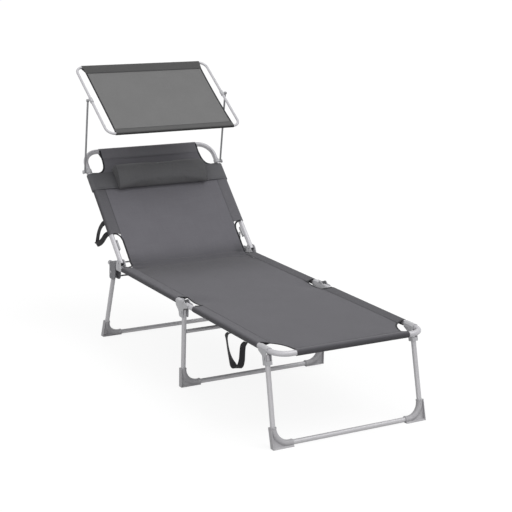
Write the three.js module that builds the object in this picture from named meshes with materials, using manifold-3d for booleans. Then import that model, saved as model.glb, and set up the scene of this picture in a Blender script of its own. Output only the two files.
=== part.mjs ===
// Folding sun lounger with a tilting sun canopy, a sliding head pillow and carry loops.
// Millimetres, +Z up. X runs across the lounger, the foot end points to -Y and the head end to +Y.
// It is drawn from its front edge, then moved so that the middle of its base is the origin.
import * as THREE from "three";
import { mergeVertices } from "three/addons/utils/BufferGeometryUtils.js";
import Module from "manifold-3d";

const wasm = await Module();
wasm.setup();

// Driving dimensions of the whole lounger
const SEAT_HEIGHT = 380;
const FRAME_HALF = 338;
const FOOT_HINGE_Y = 746;
const RECLINE_HINGE_Y = 1375;
const SIDE_TUBE_END_Y = 1488;
const BACKREST_LENGTH = 615;
const BACKREST_ANGLE = 45;

// Tubes
const FRAME_R = 11;
const LEG_R = 10;
const CANOPY_R = 6;
const ROD_R = 4.5;
const TUBE_WALL = 0.8;
const FRAME_BEND = 60;
const BACK_BEND = 70;
const LEG_BEND = 65;
const CANOPY_BEND = 38;
const TUBE_SIDES = 12;
const ROD_SIDES = 8;
const BEND_STEPS = 5;
const ROUNDING_STEPS = 3;

// Clearances and overruns
const GAP = 0.3;
const RUNNING_GAP = 0.6;
const CUT = 4;

// Plugs in the tubes' open ends
const CAP_GRIP = 16;
const CAP_RIM = 4;
const CAP_DOME = 9;
const CAP_TOP_R = 7;
const BACK_TUBE_START = -8;
const BACK_PLUG_DEPTH = 4;
const BACK_PLUG_RIM = 2;
const BACK_PLUG_GRIP = 3;
const HINGE_PLUG_GRIP = 22;
const KNUCKLE_R = 6.5;

// Fabric
const FABRIC = 1.7;
const BACK_SLEEVE_START = 145;
const FOOT_SLEEVE_START = 78;
const HINGE_TO_SLEEVE = 8;
const HOLLOW_FLAT_SHARE = 0.8;
const SEAT_FABRIC_END = 20;
const SIDE_CUTOUT = 44;
const BACK_CUTOUT = 42;
const BACK_CUTOUT_CORNER = 30;
const BACK_FABRIC_DROP = 12;
const FOLD_SLIT = 5;
const FRONT_CORNER_ACROSS = 90;
const FRONT_CORNER_ALONG = 125;
const FRONT_CORNER_POWER = 1;
const FRONT_SLEEVE_INSET = 80;
const TOP_CORNER_ACROSS = 82;
const TOP_CORNER_ALONG = 128;
const TOP_CORNER_POWER = 0.5;
const CORNER_STEPS = 6;

// Hinge and leg brackets
const PLATE = 2.5;
const RIVET_R = 3;
const RIVET_HEAD_R = 6;
const RIVET_HEAD = 2;
const FOOT_PIVOT_RISE = 14;
const RECLINE_PIVOT_RISE = 27;
const FRONT_LEG_Y = 86;
const FRONT_LEG_DROP = 32;
const MIDDLE_LEG_SETBACK = 11;
const MIDDLE_LEG_DROP = 36;
const REAR_LEG_Y = 1446;
const REAR_LEG_DROP = 32;
const LEG_TOP = 12;
const HINGE_FRONT = 13;
const HINGE_BACK = 64;
const HINGE_BACK_TOP = 14;
const HINGE_FOOT = 20;
const HINGE_WAIST = 25;
const HINGE_WAIST_FALL = 34;
const HINGE_WING = 42;
const HINGE_WING_EDGE = 5;
const HINGE_WING_FALL = 17;
const HINGE_EAR = 7;
const HINGE_EAR_FOOT = 16;
const HINGE_FALL = 22;
const BRACKET_CORNER = 9;
const RECLINE_FRONT = 30;
const RECLINE_BACK = 24;
const RECLINE_EAR = 13;
const FRONT_BRACKET_FRONT = 14.5;
const FRONT_BRACKET_BACK = 45;
const FRONT_BRACKET_LOW = 27;
const FRONT_BRACKET_WALL_START = 13;
const FRONT_BRACKET_CORNER = 3;

// Legs and feet
const FRONT_LEG_TILT = 13.4;
const MIDDLE_LEG_TILT = 0.9;
const REAR_LEG_TILT = 15.7;
const MIDDLE_LEG_CLEARANCE = 6;
const MIDDLE_BAR_R = 8.5;
const MIDDLE_BAR_DROP = 85;
const LEG_BAR_HEIGHT = 12;
const LEG_SPREAD = 4;
const SHOE_LENGTH = 80;
const SHOE_HEIGHT = 70;
const SHOE_OUTER = 13;
const SHOE_INNER = 14;
const SHOE_THICKNESS = 23;

// Rear blocks, cross rod and recline stay
const BLOCK_WALL = 4;
const BLOCK_FRONT = 40;
const BLOCK_BACK = 20;
const BLOCK_TOP = 15;
const BLOCK_BOTTOM = 65;
const CROSS_ROD_R = 3.5;
const CROSS_ROD_Y = 1415;
const CROSS_ROD_DROP = 46;
const CROSS_ROD_SAG = 22;
const CROSS_ROD_STEPS = 12;
const CROSS_ROD_STRAIGHT = 8;
const ROD_SEAT = 3;
const STAY_Y = 1440;
const STAY_RISE = 8;
const STAY_LENGTH = 75;
const STAY_ANGLE = 83;
const STAY_ARM = 5;
const STAY_ARM_WIDTH = 10;
const STAY_ROD_R = 4;
const STAY_PIN_R = 2.5;
const RACK_INSET = 18.8;
const RACK_FROM = 66;
const RACK_TO = 116;
const RACK_TEETH = 5;
const RACK_FRONT = 6;
const RACK_BACK = 8.5;
const RACK_TOOTH = 3.5;
const RACK_LAND_SHARE = 0.35;
const RACK_PIN = 2.6;

// Headrest
const BAND_DROP = 183;
const BAND_WIDTH = 88;
const BAND_FABRIC = 1.5;
const PILLOW_HALF = 236;
const PILLOW_HEIGHT = 134;
const PILLOW_DEPTH = 60;
const PILLOW_RINGS = 18;
const PILLOW_FRONT_STEPS = 14;
const PILLOW_BACK_STEPS = 6;
const PILLOW_LEAN_SHARE = 0.45;
const PILLOW_END_HEIGHT_SHARE = 0.92;
const PILLOW_END_DEPTH_SHARE = 0.7;
const PILLOW_END_POWER = 6;

// Canopy
const CANOPY_PIVOT_DROP = 118;
const ARM_LEAN = 96;
const ARM_LENGTH = 340;
const ROD_OFFSET = 20;
const CANOPY_INSET = 17;
const CANOPY_DEPTH = 446;
const CANOPY_SLOPE = 34.5;
const CANOPY_SIDE_HOLLOW = 3;
const CANOPY_SIDE_STEPS = 8;
const CLIP_LENGTH = 26;
const CLIP_WALL = 2;
const PIVOT_CLAMP = 18;
const PIVOT_CLAMP_WALL = 2.4;
const STUD_R = 3;
const KNOB_R = 9;
const KNOB_DEPTH = 5;
const ROD_EYE_R = 7;

// Carry loops
const STRAP = 1.6;
const STRAP_WIDTH = 25;
const STRAP_STEPS = 8;
const STRAP_TIP_SHARE = 0.3;
const STRAP_WAIST_SHARE = 0.62;
const FOOT_STRAP_AT = 290;
const FOOT_STRAP_SPREAD = 128;
const FOOT_STRAP_DROP = 138;
const BACK_STRAP_AT = 204;
const BACK_STRAP_SPREAD = 66;
const BACK_STRAP_DROP = 142;

// Heights and places that follow from the above
const RAD = Math.PI / 180;
const HALF_SIDE_TURN = Math.PI / TUBE_SIDES;
const SLEEVE_R = FRAME_R + GAP + FABRIC;
const AXIS_Z = SEAT_HEIGHT - SLEEVE_R;
const FRONT_BAR_Y = FRAME_R;
const BORE_R = FRAME_R + GAP;
const SPIGOT_R = FRAME_R - TUBE_WALL - GAP;
const PLATE_OUT = BORE_R + PLATE;
const FOOT_PIVOT_Z = AXIS_Z + FOOT_PIVOT_RISE;
const RECLINE_Z = AXIS_Z + RECLINE_PIVOT_RISE;
const BAND_AT = BACKREST_LENGTH - BAND_DROP;
const CANOPY_PIVOT_AT = BACKREST_LENGTH - CANOPY_PIVOT_DROP;
const CANOPY_HALF = FRAME_HALF + ROD_OFFSET - CANOPY_INSET;
const CANOPY_FABRIC_HALF = CANOPY_HALF - CANOPY_BEND;

const X_AXIS = new THREE.Vector3(1, 0, 0);
const Y_AXIS = new THREE.Vector3(0, 1, 0);
const Z_AXIS = new THREE.Vector3(0, 0, 1);

// Finishes
function finish(color, roughness, metalness) {
  return { color, roughness, metalness };
}
const SILVER = finish(0xc9c9cc, 0.38, 0.6);
const LEG_SILVER = finish(0xb4b4b8, 0.42, 0.55);
const STEEL = finish(0x9a9a9d, 0.35, 0.8);
const DARK_STEEL = finish(0x4a4a4d, 0.5, 0.7);
const GREY_PLASTIC = finish(0x98989b, 0.6, 0);
const BLACK_PLASTIC = finish(0x1c1c1e, 0.6, 0);
const CHARCOAL_FABRIC = finish(0x6a6a6e, 0.95, 0);
const DARK_FABRIC = finish(0x4e4e50, 0.95, 0);
const SHADE_FABRIC = finish(0x787878, 0.95, 0);
const BLACK_WEBBING = finish(0x202022, 0.9, 0);

// A geometry with positions only, shared vertices merged and empty triangles left out
function bare(geometry) {
  const copy = geometry.clone();
  copy.deleteAttribute("normal");
  copy.deleteAttribute("uv");
  const merged = mergeVertices(copy, 1e-3);
  const kept = [];
  const index = merged.index.array;
  for (let i = 0; i < index.length; i += 3) {
    const [a, b, c] = [index[i], index[i + 1], index[i + 2]];
    if (a !== b && b !== c && c !== a) kept.push(a, b, c);
  }
  merged.setIndex(kept);
  return merged;
}

function toSolid(geometry) {
  const g = bare(geometry);
  const mesh = new wasm.Mesh({
    numProp: 3,
    vertProperties: Float32Array.from(g.attributes.position.array),
    triVerts: Uint32Array.from(g.index.array),
  });
  return new wasm.Manifold(mesh);
}

function fromSolid(solid) {
  const mesh = solid.getMesh();
  const geometry = new THREE.BufferGeometry();
  geometry.setAttribute("position", new THREE.BufferAttribute(Float32Array.from(mesh.vertProperties), 3));
  geometry.setIndex(Array.from(mesh.triVerts));
  return geometry;
}

// Joins the first geometries and cuts the later ones out of them
function carve(joined, cuts = []) {
  let solid = toSolid(joined[0]);
  for (const g of joined.slice(1)) solid = solid.add(toSolid(g));
  for (const g of cuts) solid = solid.subtract(toSolid(g));
  return fromSolid(solid);
}

// Turns a solid extruded up Z so that its depth runs along X and its outline lies in the YZ plane
function alongX(geometry) {
  return geometry.applyMatrix4(new THREE.Matrix4().makeBasis(Y_AXIS, Z_AXIS, X_AXIS));
}

// Turns a solid extruded up Z so that its depth runs along -Y and its outline lies in the XZ plane
function alongY(geometry) {
  const back = Y_AXIS.clone().negate();
  return geometry.applyMatrix4(new THREE.Matrix4().makeBasis(X_AXIS, Z_AXIS, back));
}

function extrude(shape, depth, curveSegments = CORNER_STEPS) {
  return new THREE.ExtrudeGeometry(shape, { depth, bevelEnabled: false, curveSegments });
}

function box(x, y, z) {
  const geometry = new THREE.BoxGeometry(x[1] - x[0], y[1] - y[0], z[1] - z[0]);
  return geometry.translate((x[0] + x[1]) / 2, (y[0] + y[1]) / 2, (z[0] + z[1]) / 2);
}

// A circle's outline with a flat at its top
function circlePoints(radius, sides) {
  const points = [];
  for (let i = 0; i < sides; i += 1) {
    const a = Math.PI / 2 + ((i + 0.5) / sides) * 2 * Math.PI;
    points.push(new THREE.Vector2(radius * Math.cos(a), radius * Math.sin(a)));
  }
  return points;
}

// A bore's outline is drawn round the circle, so that a rod of the same sides clears it
function boreRadius(radius, sides) {
  return radius / Math.cos(Math.PI / sides);
}

function disc(radius, sides = TUBE_SIDES) {
  return new THREE.Shape(circlePoints(radius, sides));
}

function ring(outer, inner, sides = TUBE_SIDES) {
  const shape = disc(outer, sides);
  shape.holes.push(new THREE.Path(circlePoints(inner, sides)));
  return shape;
}

// A cylinder along X, round the line through (y, z)
function barX(radius, x, y, z, sides = TUBE_SIDES) {
  return alongX(extrude(disc(radius, sides), x[1] - x[0])).translate(x[0], y, z);
}

// A cylinder along Y, round the line through (x, z)
function barY(radius, x, y, z, sides = TUBE_SIDES) {
  return alongY(extrude(disc(radius, sides), y[1] - y[0])).translate(x, y[1], z);
}

function ringY(outer, inner, x, y, z, sides = TUBE_SIDES) {
  return alongY(extrude(ring(outer, inner, sides), y[1] - y[0])).translate(x, y[1], z);
}

function ringX(outer, inner, x, y, z, sides = TUBE_SIDES) {
  return alongX(extrude(ring(outer, inner, sides), x[1] - x[0])).translate(x[0], y, z);
}

// A path of straight runs joined by round bends, with one step per run and a few per bend
class BentPath extends THREE.Curve {
  constructor(corners, bend, steps = BEND_STEPS) {
    super();
    this.points = [corners[0].clone()];
    this.tangents = [corners[1].clone().sub(corners[0]).normalize()];
    for (let i = 1; i < corners.length - 1; i += 1) {
      const into = corners[i].clone().sub(corners[i - 1]).normalize();
      const out = corners[i + 1].clone().sub(corners[i]).normalize();
      const turn = into.angleTo(out);
      const reach = bend * Math.tan(turn / 2);
      const side = out.clone().sub(into.clone().multiplyScalar(Math.cos(turn))).normalize();
      const start = corners[i].clone().addScaledVector(into, -reach);
      for (let k = 0; k <= steps; k += 1) {
        const a = (turn * k) / steps;
        const p = start.clone().addScaledVector(into, bend * Math.sin(a));
        this.points.push(p.addScaledVector(side, bend * (1 - Math.cos(a))));
        this.tangents.push(into.clone().multiplyScalar(Math.cos(a)).addScaledVector(side, Math.sin(a)));
      }
    }
    const last = corners.length - 1;
    this.points.push(corners[last].clone());
    this.tangents.push(corners[last].clone().sub(corners[last - 1]).normalize());
  }

  get steps() {
    return this.points.length - 1;
  }

  getPoint(t, target = new THREE.Vector3()) {
    return target.copy(this.points[Math.round(t * this.steps)]);
  }

  getPointAt(u, target) {
    return this.getPoint(u, target);
  }

  getTangent(t, target = new THREE.Vector3()) {
    return target.copy(this.tangents[Math.round(t * this.steps)]);
  }

  getTangentAt(u, target) {
    return this.getTangent(u, target);
  }
}

function sweep(path, shape) {
  return new THREE.ExtrudeGeometry(shape, { steps: path.steps, extrudePath: path, bevelEnabled: false });
}

function vec(x, y, z) {
  return new THREE.Vector3(x, y, z);
}

// Meshes and groups
const lounger = new THREE.Group();

function addPiece(group, name, geometry, look) {
  const g = bare(geometry);
  g.computeVertexNormals();
  const mesh = new THREE.Mesh(g, new THREE.MeshStandardMaterial({ ...look, flatShading: true }));
  mesh.name = name;
  group.add(mesh);
  return mesh;
}

function addGroup(parent, position, angle = 0) {
  const group = new THREE.Group();
  group.position.copy(position);
  group.rotation.x = angle * RAD;
  parent.add(group);
  return group;
}

const SIDES = [["left", -1], ["right", 1]];

// The X range between two distances from the middle plane, on the side with the given sign
function mirrored(sign, from, to) {
  return sign > 0 ? [from, to] : [-to, -from];
}

// A rivet through a bracket's two cheeks, headed on both outer faces
function rivet(x, halfGrip, y, z) {
  const grip = halfGrip + GAP;
  const top = grip + RIVET_HEAD;
  const profile = [
    new THREE.Vector2(0, -top),
    new THREE.Vector2(RIVET_HEAD_R, -top),
    new THREE.Vector2(RIVET_HEAD_R, -grip),
    new THREE.Vector2(RIVET_R, -grip),
    new THREE.Vector2(RIVET_R, grip),
    new THREE.Vector2(RIVET_HEAD_R, grip),
    new THREE.Vector2(RIVET_HEAD_R, top),
    new THREE.Vector2(0, top),
  ];
  return new THREE.LatheGeometry(profile, TUBE_SIDES).rotateZ(-Math.PI / 2).translate(x, y, z);
}

function rivetHole(x, reach, y, z) {
  return barX(boreRadius(RIVET_R + GAP, TUBE_SIDES), [x - reach, x + reach], y, z);
}

// A side outline in the YZ plane, with its corners rounded
function roundedOutline(corners, radius) {
  const shape = new THREE.Shape();
  const n = corners.length;
  for (let i = 0; i < n; i += 1) {
    const here = new THREE.Vector2(...corners[i]);
    const before = new THREE.Vector2(...corners[(i + n - 1) % n]);
    const after = new THREE.Vector2(...corners[(i + 1) % n]);
    const r = Math.min(radius, here.distanceTo(before) / 2, here.distanceTo(after) / 2);
    const a = here.clone().add(before.sub(here).setLength(r));
    const b = here.clone().add(after.sub(here).setLength(r));
    if (i === 0) shape.moveTo(a.x, a.y);
    else shape.lineTo(a.x, a.y);
    shape.quadraticCurveTo(here.x, here.y, b.x, b.y);
  }
  shape.closePath();
  return shape;
}

// The two cheeks of a bracket beside a side tube
function cheeks(x, outline, inner = BORE_R, outer = PLATE_OUT) {
  const plates = [];
  for (const side of [-1, 1]) {
    const from = side > 0 ? x + inner : x - outer;
    plates.push(alongX(extrude(outline, outer - inner, ROUNDING_STEPS)).translate(from, 0, 0));
  }
  return plates;
}

// The web that joins the cheeks: half a ring over the tube, or under it
function saddle(x, y, z, over = true) {
  const whole = ringY(PLATE_OUT, boreRadius(BORE_R, TUBE_SIDES), x, y, z);
  const wide = PLATE_OUT + CUT;
  const cutZ = over ? [z - wide, z] : [z, z + wide];
  const removed = box([x - wide, x + wide], [y[0] - CUT, y[1] + CUT], cutZ);
  return carve([whole], [removed]);
}

// Middle section of the frame, which carries the rest
for (const [side, sign] of SIDES) {
  const x = sign * FRAME_HALF;
  const frontEnd = FOOT_HINGE_Y + MIDDLE_LEG_SETBACK;
  const outer = ring(FRAME_R, FRAME_R - TUBE_WALL);
  const tube = alongY(extrude(outer, SIDE_TUBE_END_Y - frontEnd)).translate(x, SIDE_TUBE_END_Y, AXIS_Z);
  addPiece(lounger, `middle_side_tube_${side}`, tube, SILVER);

  const capProfile = [
    new THREE.Vector2(0, -CAP_GRIP),
    new THREE.Vector2(SPIGOT_R, -CAP_GRIP),
    new THREE.Vector2(SPIGOT_R, GAP),
    new THREE.Vector2(FRAME_R, GAP),
    new THREE.Vector2(FRAME_R, CAP_RIM),
    new THREE.Vector2(CAP_TOP_R, CAP_DOME),
    new THREE.Vector2(0, CAP_DOME),
  ];
  const cap = new THREE.LatheGeometry(capProfile, TUBE_SIDES).rotateY(HALF_SIDE_TURN);
  addPiece(lounger, `side_tube_cap_${side}`, cap.translate(x, SIDE_TUBE_END_Y, AXIS_Z), GREY_PLASTIC);
}

// Hinge bracket between the foot section and the middle, which also holds the middle leg
const MIDDLE_LEG_Y = FOOT_HINGE_Y + MIDDLE_LEG_SETBACK;
const MIDDLE_LEG_Z = AXIS_Z - MIDDLE_LEG_DROP;
const HINGE_TOP = FOOT_PIVOT_Z + HINGE_EAR;
const HINGE_BOTTOM = MIDDLE_LEG_Z - HINGE_FALL;
for (const [side, sign] of SIDES) {
  const x = sign * FRAME_HALF;
  const outline = roundedOutline([
    [FOOT_HINGE_Y - HINGE_EAR, HINGE_TOP],
    [FOOT_HINGE_Y - HINGE_EAR_FOOT, AXIS_Z + FRAME_R],
    [FOOT_HINGE_Y - HINGE_WING, AXIS_Z + FRAME_R],
    [FOOT_HINGE_Y - HINGE_WING, AXIS_Z - HINGE_WING_EDGE],
    [MIDDLE_LEG_Y - HINGE_FRONT, AXIS_Z - HINGE_WING_FALL],
    [MIDDLE_LEG_Y - HINGE_FRONT, HINGE_BOTTOM],
    [MIDDLE_LEG_Y + HINGE_FOOT, HINGE_BOTTOM],
    [MIDDLE_LEG_Y + HINGE_WAIST, AXIS_Z - HINGE_WAIST_FALL],
    [FOOT_HINGE_Y + HINGE_BACK, AXIS_Z - HINGE_BACK_TOP],
    [FOOT_HINGE_Y + HINGE_BACK, AXIS_Z + FRAME_R],
    [FOOT_HINGE_Y + HINGE_EAR_FOOT, AXIS_Z + FRAME_R],
    [FOOT_HINGE_Y + HINGE_EAR, HINGE_TOP],
  ], BRACKET_CORNER);
  const web = saddle(x, [MIDDLE_LEG_Y + HINGE_FRONT + CUT, FOOT_HINGE_Y + HINGE_BACK], AXIS_Z);
  const holes = [
    rivetHole(x, PLATE_OUT + CUT, FOOT_HINGE_Y, FOOT_PIVOT_Z),
    rivetHole(x, PLATE_OUT + CUT, MIDDLE_LEG_Y, MIDDLE_LEG_Z),
  ];
  addPiece(lounger, `middle_hinge_bracket_${side}`, carve([...cheeks(x, outline), web], holes), GREY_PLASTIC);
  addPiece(lounger, `foot_hinge_rivet_${side}`, rivet(x, PLATE_OUT, FOOT_HINGE_Y, FOOT_PIVOT_Z), STEEL);
  addPiece(lounger, `middle_leg_rivet_${side}`, rivet(x, PLATE_OUT, MIDDLE_LEG_Y, MIDDLE_LEG_Z), STEEL);
}

// Recline bracket, a channel under the side tube whose cheeks rise beside the backrest tube
for (const [side, sign] of SIDES) {
  const x = sign * FRAME_HALF;
  const outline = roundedOutline([
    [RECLINE_HINGE_Y - RECLINE_FRONT, AXIS_Z + FRAME_R],
    [RECLINE_HINGE_Y - RECLINE_FRONT, AXIS_Z - FRAME_R],
    [RECLINE_HINGE_Y + RECLINE_BACK, AXIS_Z - FRAME_R],
    [RECLINE_HINGE_Y + RECLINE_BACK, AXIS_Z + FRAME_R],
    [RECLINE_HINGE_Y + RECLINE_EAR, RECLINE_Z + RECLINE_EAR],
    [RECLINE_HINGE_Y - RECLINE_EAR, RECLINE_Z + RECLINE_EAR],
  ], BRACKET_CORNER);
  const along = [RECLINE_HINGE_Y - RECLINE_FRONT, RECLINE_HINGE_Y + RECLINE_BACK];
  const hole = rivetHole(x, PLATE_OUT + CUT, RECLINE_HINGE_Y, RECLINE_Z);
  const bracket = carve([...cheeks(x, outline), saddle(x, along, AXIS_Z, false)], [hole]);
  addPiece(lounger, `recline_bracket_${side}`, bracket, GREY_PLASTIC);
  addPiece(lounger, `recline_rivet_${side}`, rivet(x, PLATE_OUT, RECLINE_HINGE_Y, RECLINE_Z), STEEL);
}

// Rear leg block, clamped round the side tube, with a slot for the leg's top
const REAR_LEG_Z = AXIS_Z - REAR_LEG_DROP;
const BLOCK_OUT = BORE_R + BLOCK_WALL;
const STAY_Z = AXIS_Z + STAY_RISE;
const CROSS_ROD_Z = AXIS_Z - CROSS_ROD_DROP;
for (const [side, sign] of SIDES) {
  const x = sign * FRAME_HALF;
  const front = REAR_LEG_Y - BLOCK_FRONT;
  const back = REAR_LEG_Y + BLOCK_BACK;
  const outline = roundedOutline([
    [front, AXIS_Z + BLOCK_TOP],
    [front, AXIS_Z - BLOCK_BOTTOM + BLOCK_TOP],
    [front + BLOCK_TOP, AXIS_Z - BLOCK_BOTTOM],
    [back, AXIS_Z - BLOCK_BOTTOM],
    [back, AXIS_Z + BLOCK_TOP],
  ], BRACKET_CORNER);
  const body = alongX(extrude(outline, 2 * BLOCK_OUT, ROUNDING_STEPS)).translate(x - BLOCK_OUT, 0, 0);
  const face = FRAME_HALF - BLOCK_OUT;
  const seat = mirrored(sign, face - CUT, face + ROD_SEAT + GAP);
  const cuts = [
    barY(boreRadius(BORE_R, TUBE_SIDES), x, [front - CUT, back + CUT], AXIS_Z),
    box([x - BORE_R, x + BORE_R], [front - CUT, back + CUT],
      [AXIS_Z - BLOCK_BOTTOM - CUT, AXIS_Z - FRAME_R - BLOCK_WALL]),
    rivetHole(x, BLOCK_OUT + CUT, REAR_LEG_Y, REAR_LEG_Z),
    barX(boreRadius(STAY_PIN_R + GAP, ROD_SIDES), seat, STAY_Y, STAY_Z, ROD_SIDES),
    barX(boreRadius(CROSS_ROD_R + GAP, ROD_SIDES), seat, CROSS_ROD_Y, CROSS_ROD_Z, ROD_SIDES),
  ];
  addPiece(lounger, `rear_leg_block_${side}`, carve([body], cuts), GREY_PLASTIC);
  addPiece(lounger, `rear_leg_rivet_${side}`, rivet(x, BLOCK_OUT, REAR_LEG_Y, REAR_LEG_Z), STEEL);
}

// Cross rod between the rear blocks, bowed down under the fabric
class SaggingRod extends THREE.Curve {
  constructor(half, straight, sag) {
    super();
    Object.assign(this, { half, straight, sag });
  }

  getPoint(t, target = new THREE.Vector3()) {
    const x = (2 * t - 1) * this.half;
    const free = this.half - this.straight;
    const s = Math.min(1, Math.abs(x) / free);
    return target.set(x, CROSS_ROD_Y, CROSS_ROD_Z - this.sag * (1 - s * s) ** 2);
  }
}
const rodHalf = FRAME_HALF - BLOCK_OUT + ROD_SEAT;
const crossRod = new THREE.ExtrudeGeometry(disc(CROSS_ROD_R, ROD_SIDES), {
  steps: CROSS_ROD_STEPS,
  extrudePath: new SaggingRod(rodHalf, CROSS_ROD_STRAIGHT, CROSS_ROD_SAG),
  bevelEnabled: false,
});
addPiece(lounger, "rear_cross_rod", crossRod, DARK_STEEL);

// Seat fabric: a taut sheet level with the top of the sleeves that run round the tubes
function sheetOutline(points) {
  const shape = new THREE.Shape();
  points.forEach(([x, y], i) => (i === 0 ? shape.moveTo(x, y) : shape.lineTo(x, y)));
  const back = [...points].reverse();
  back.forEach(([x, y]) => shape.lineTo(-x, y));
  shape.closePath();
  return shape;
}

// Points of a hollow corner from the side edge to the end edge: a quarter ellipse, squarer at a lower power
function hollowCorner(cornerX, cornerY, across, along, power) {
  const points = [];
  for (let i = 0; i <= CORNER_STEPS; i += 1) {
    const a = (i / CORNER_STEPS) * (Math.PI / 2);
    const inward = i === 0 ? 0 : Math.sin(a) ** power;
    const onward = i === CORNER_STEPS ? 0 : Math.cos(a) ** power;
    points.push([cornerX - across * inward, cornerY + along * onward]);
  }
  return points;
}

// Points of the hollow beside a hinge: along the fold line's end, then out to where the sleeve starts
function hollowSide(edgeX, foldY, sleeveY, depth) {
  const flatY = foldY + (sleeveY - foldY) * HOLLOW_FLAT_SHARE;
  const points = [[edgeX - depth, foldY]];
  for (let i = 0; i <= CORNER_STEPS; i += 1) {
    const a = (i / CORNER_STEPS) * (Math.PI / 2);
    points.push([edgeX - depth * Math.cos(a), flatY + (sleeveY - flatY) * Math.sin(a)]);
  }
  return points;
}

// Sleeves round a side tube and round a cross bar
function sleeve(x, y, z = AXIS_Z) {
  return ringY(SLEEVE_R, boreRadius(BORE_R, TUBE_SIDES), x, y, z);
}

function sleeveX(half, y, z) {
  return ringX(SLEEVE_R, boreRadius(BORE_R, TUBE_SIDES), [-half, half], y, z);
}

const middleFabricStart = FOOT_HINGE_Y + FOLD_SLIT;
const middleFabricEnd = RECLINE_HINGE_Y - SEAT_FABRIC_END;
const middleSleeveStart = FOOT_HINGE_Y + HINGE_BACK + HINGE_TO_SLEEVE;
const middleEdge = [
  [FRAME_HALF - SIDE_CUTOUT, middleFabricEnd],
  [FRAME_HALF, middleFabricEnd - SEAT_FABRIC_END],
  ...hollowSide(FRAME_HALF, middleFabricStart, middleSleeveStart, SIDE_CUTOUT).reverse(),
];
const middleSheet = extrude(sheetOutline(middleEdge), FABRIC).translate(0, 0, SEAT_HEIGHT - FABRIC);
const middleSleeves = SIDES.map(([, sign]) =>
  sleeve(sign * FRAME_HALF, [middleSleeveStart, RECLINE_HINGE_Y - RECLINE_FRONT - RUNNING_GAP]));
addPiece(lounger, "seat_fabric_middle", carve([middleSheet, ...middleSleeves]), CHARCOAL_FABRIC);

// Foot section, which folds up over the middle
const foot = addGroup(lounger, vec(0, FOOT_HINGE_Y, FOOT_PIVOT_Z));
const footZ = -FOOT_PIVOT_RISE;
const footTubeEnd = -MIDDLE_LEG_SETBACK;
const footBarY = FRONT_BAR_Y - FOOT_HINGE_Y;
const footPath = new BentPath([
  vec(-FRAME_HALF, footTubeEnd, footZ),
  vec(-FRAME_HALF, footBarY, footZ),
  vec(FRAME_HALF, footBarY, footZ),
  vec(FRAME_HALF, footTubeEnd, footZ),
], FRAME_BEND);
addPiece(foot, "foot_frame_tube", sweep(footPath, ring(FRAME_R, FRAME_R - TUBE_WALL)), SILVER);

// Hinge plug: a spigot in the foot tube's end and a knuckle round the hinge rivet
for (const [side, sign] of SIDES) {
  const x = sign * FRAME_HALF;
  const half = FRAME_R - GAP;
  const outline = new THREE.Shape();
  outline.moveTo(footTubeEnd + GAP, footZ - half);
  outline.lineTo(0, footZ - half);
  outline.lineTo(KNUCKLE_R, 0);
  outline.absarc(0, 0, KNUCKLE_R, 0, Math.PI, false);
  outline.lineTo(footTubeEnd + GAP, footZ + half);
  outline.closePath();
  const body = alongX(extrude(outline, 2 * half, ROUNDING_STEPS)).translate(x - half, 0, 0);
  const spigot = barY(SPIGOT_R, x, [footTubeEnd - HINGE_PLUG_GRIP, footTubeEnd + CUT], footZ);
  const hole = rivetHole(x, FRAME_R + CUT, 0, 0);
  addPiece(foot, `foot_hinge_plug_${side}`, carve([body, spigot], [hole]), BLACK_PLASTIC);
}

// Front leg bracket: a saddle over the side tube with a slanted socket down round the leg's top, open to the rear
const frontLegY = FRONT_LEG_Y - FOOT_HINGE_Y;
const frontLegZ = footZ - FRONT_LEG_DROP;
const frontLegLean = (FRONT_LEG_TILT * Math.PI) / 180;
function besideFrontLeg(ahead, down) {
  const y = frontLegY - down * Math.sin(frontLegLean) - ahead * Math.cos(frontLegLean);
  const z = frontLegZ - down * Math.cos(frontLegLean) + ahead * Math.sin(frontLegLean);
  return [y, z];
}
const socketInner = LEG_R + GAP;
const socketOuter = socketInner + PLATE;
const socketTop = FRONT_LEG_DROP - FRAME_R;
for (const [side, sign] of SIDES) {
  const x = sign * FRAME_HALF;
  const along = [frontLegY - FRONT_BRACKET_FRONT, frontLegY + FRONT_BRACKET_BACK];
  const outline = roundedOutline([
    [along[0], footZ + FRAME_R / 2],
    [along[0], footZ - FRAME_R],
    besideFrontLeg(socketOuter, -socketTop),
    besideFrontLeg(socketOuter, FRONT_BRACKET_LOW),
    besideFrontLeg(-socketOuter, FRONT_BRACKET_LOW),
    besideFrontLeg(-socketOuter, -socketTop / 2),
    [along[1], footZ - FRAME_R],
    [along[1], footZ + FRAME_R / 2],
  ], FRONT_BRACKET_CORNER);
  const wallOutline = roundedOutline([
    besideFrontLeg(socketInner, FRONT_BRACKET_WALL_START),
    besideFrontLeg(socketOuter, FRONT_BRACKET_WALL_START),
    besideFrontLeg(socketOuter, FRONT_BRACKET_LOW),
    besideFrontLeg(socketInner, FRONT_BRACKET_LOW),
  ], GAP);
  const wallHalf = (BORE_R + PLATE_OUT) / 2;
  const wall = alongX(extrude(wallOutline, 2 * wallHalf, ROUNDING_STEPS)).translate(x - wallHalf, 0, 0);
  const hole = rivetHole(x, PLATE_OUT + CUT, frontLegY, frontLegZ);
  const bracket = carve([...cheeks(x, outline), saddle(x, along, footZ), wall], [hole]);
  addPiece(foot, `front_leg_bracket_${side}`, bracket, GREY_PLASTIC);
  addPiece(foot, `front_leg_rivet_${side}`, rivet(x, PLATE_OUT, frontLegY, frontLegZ), STEEL);
}

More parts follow.
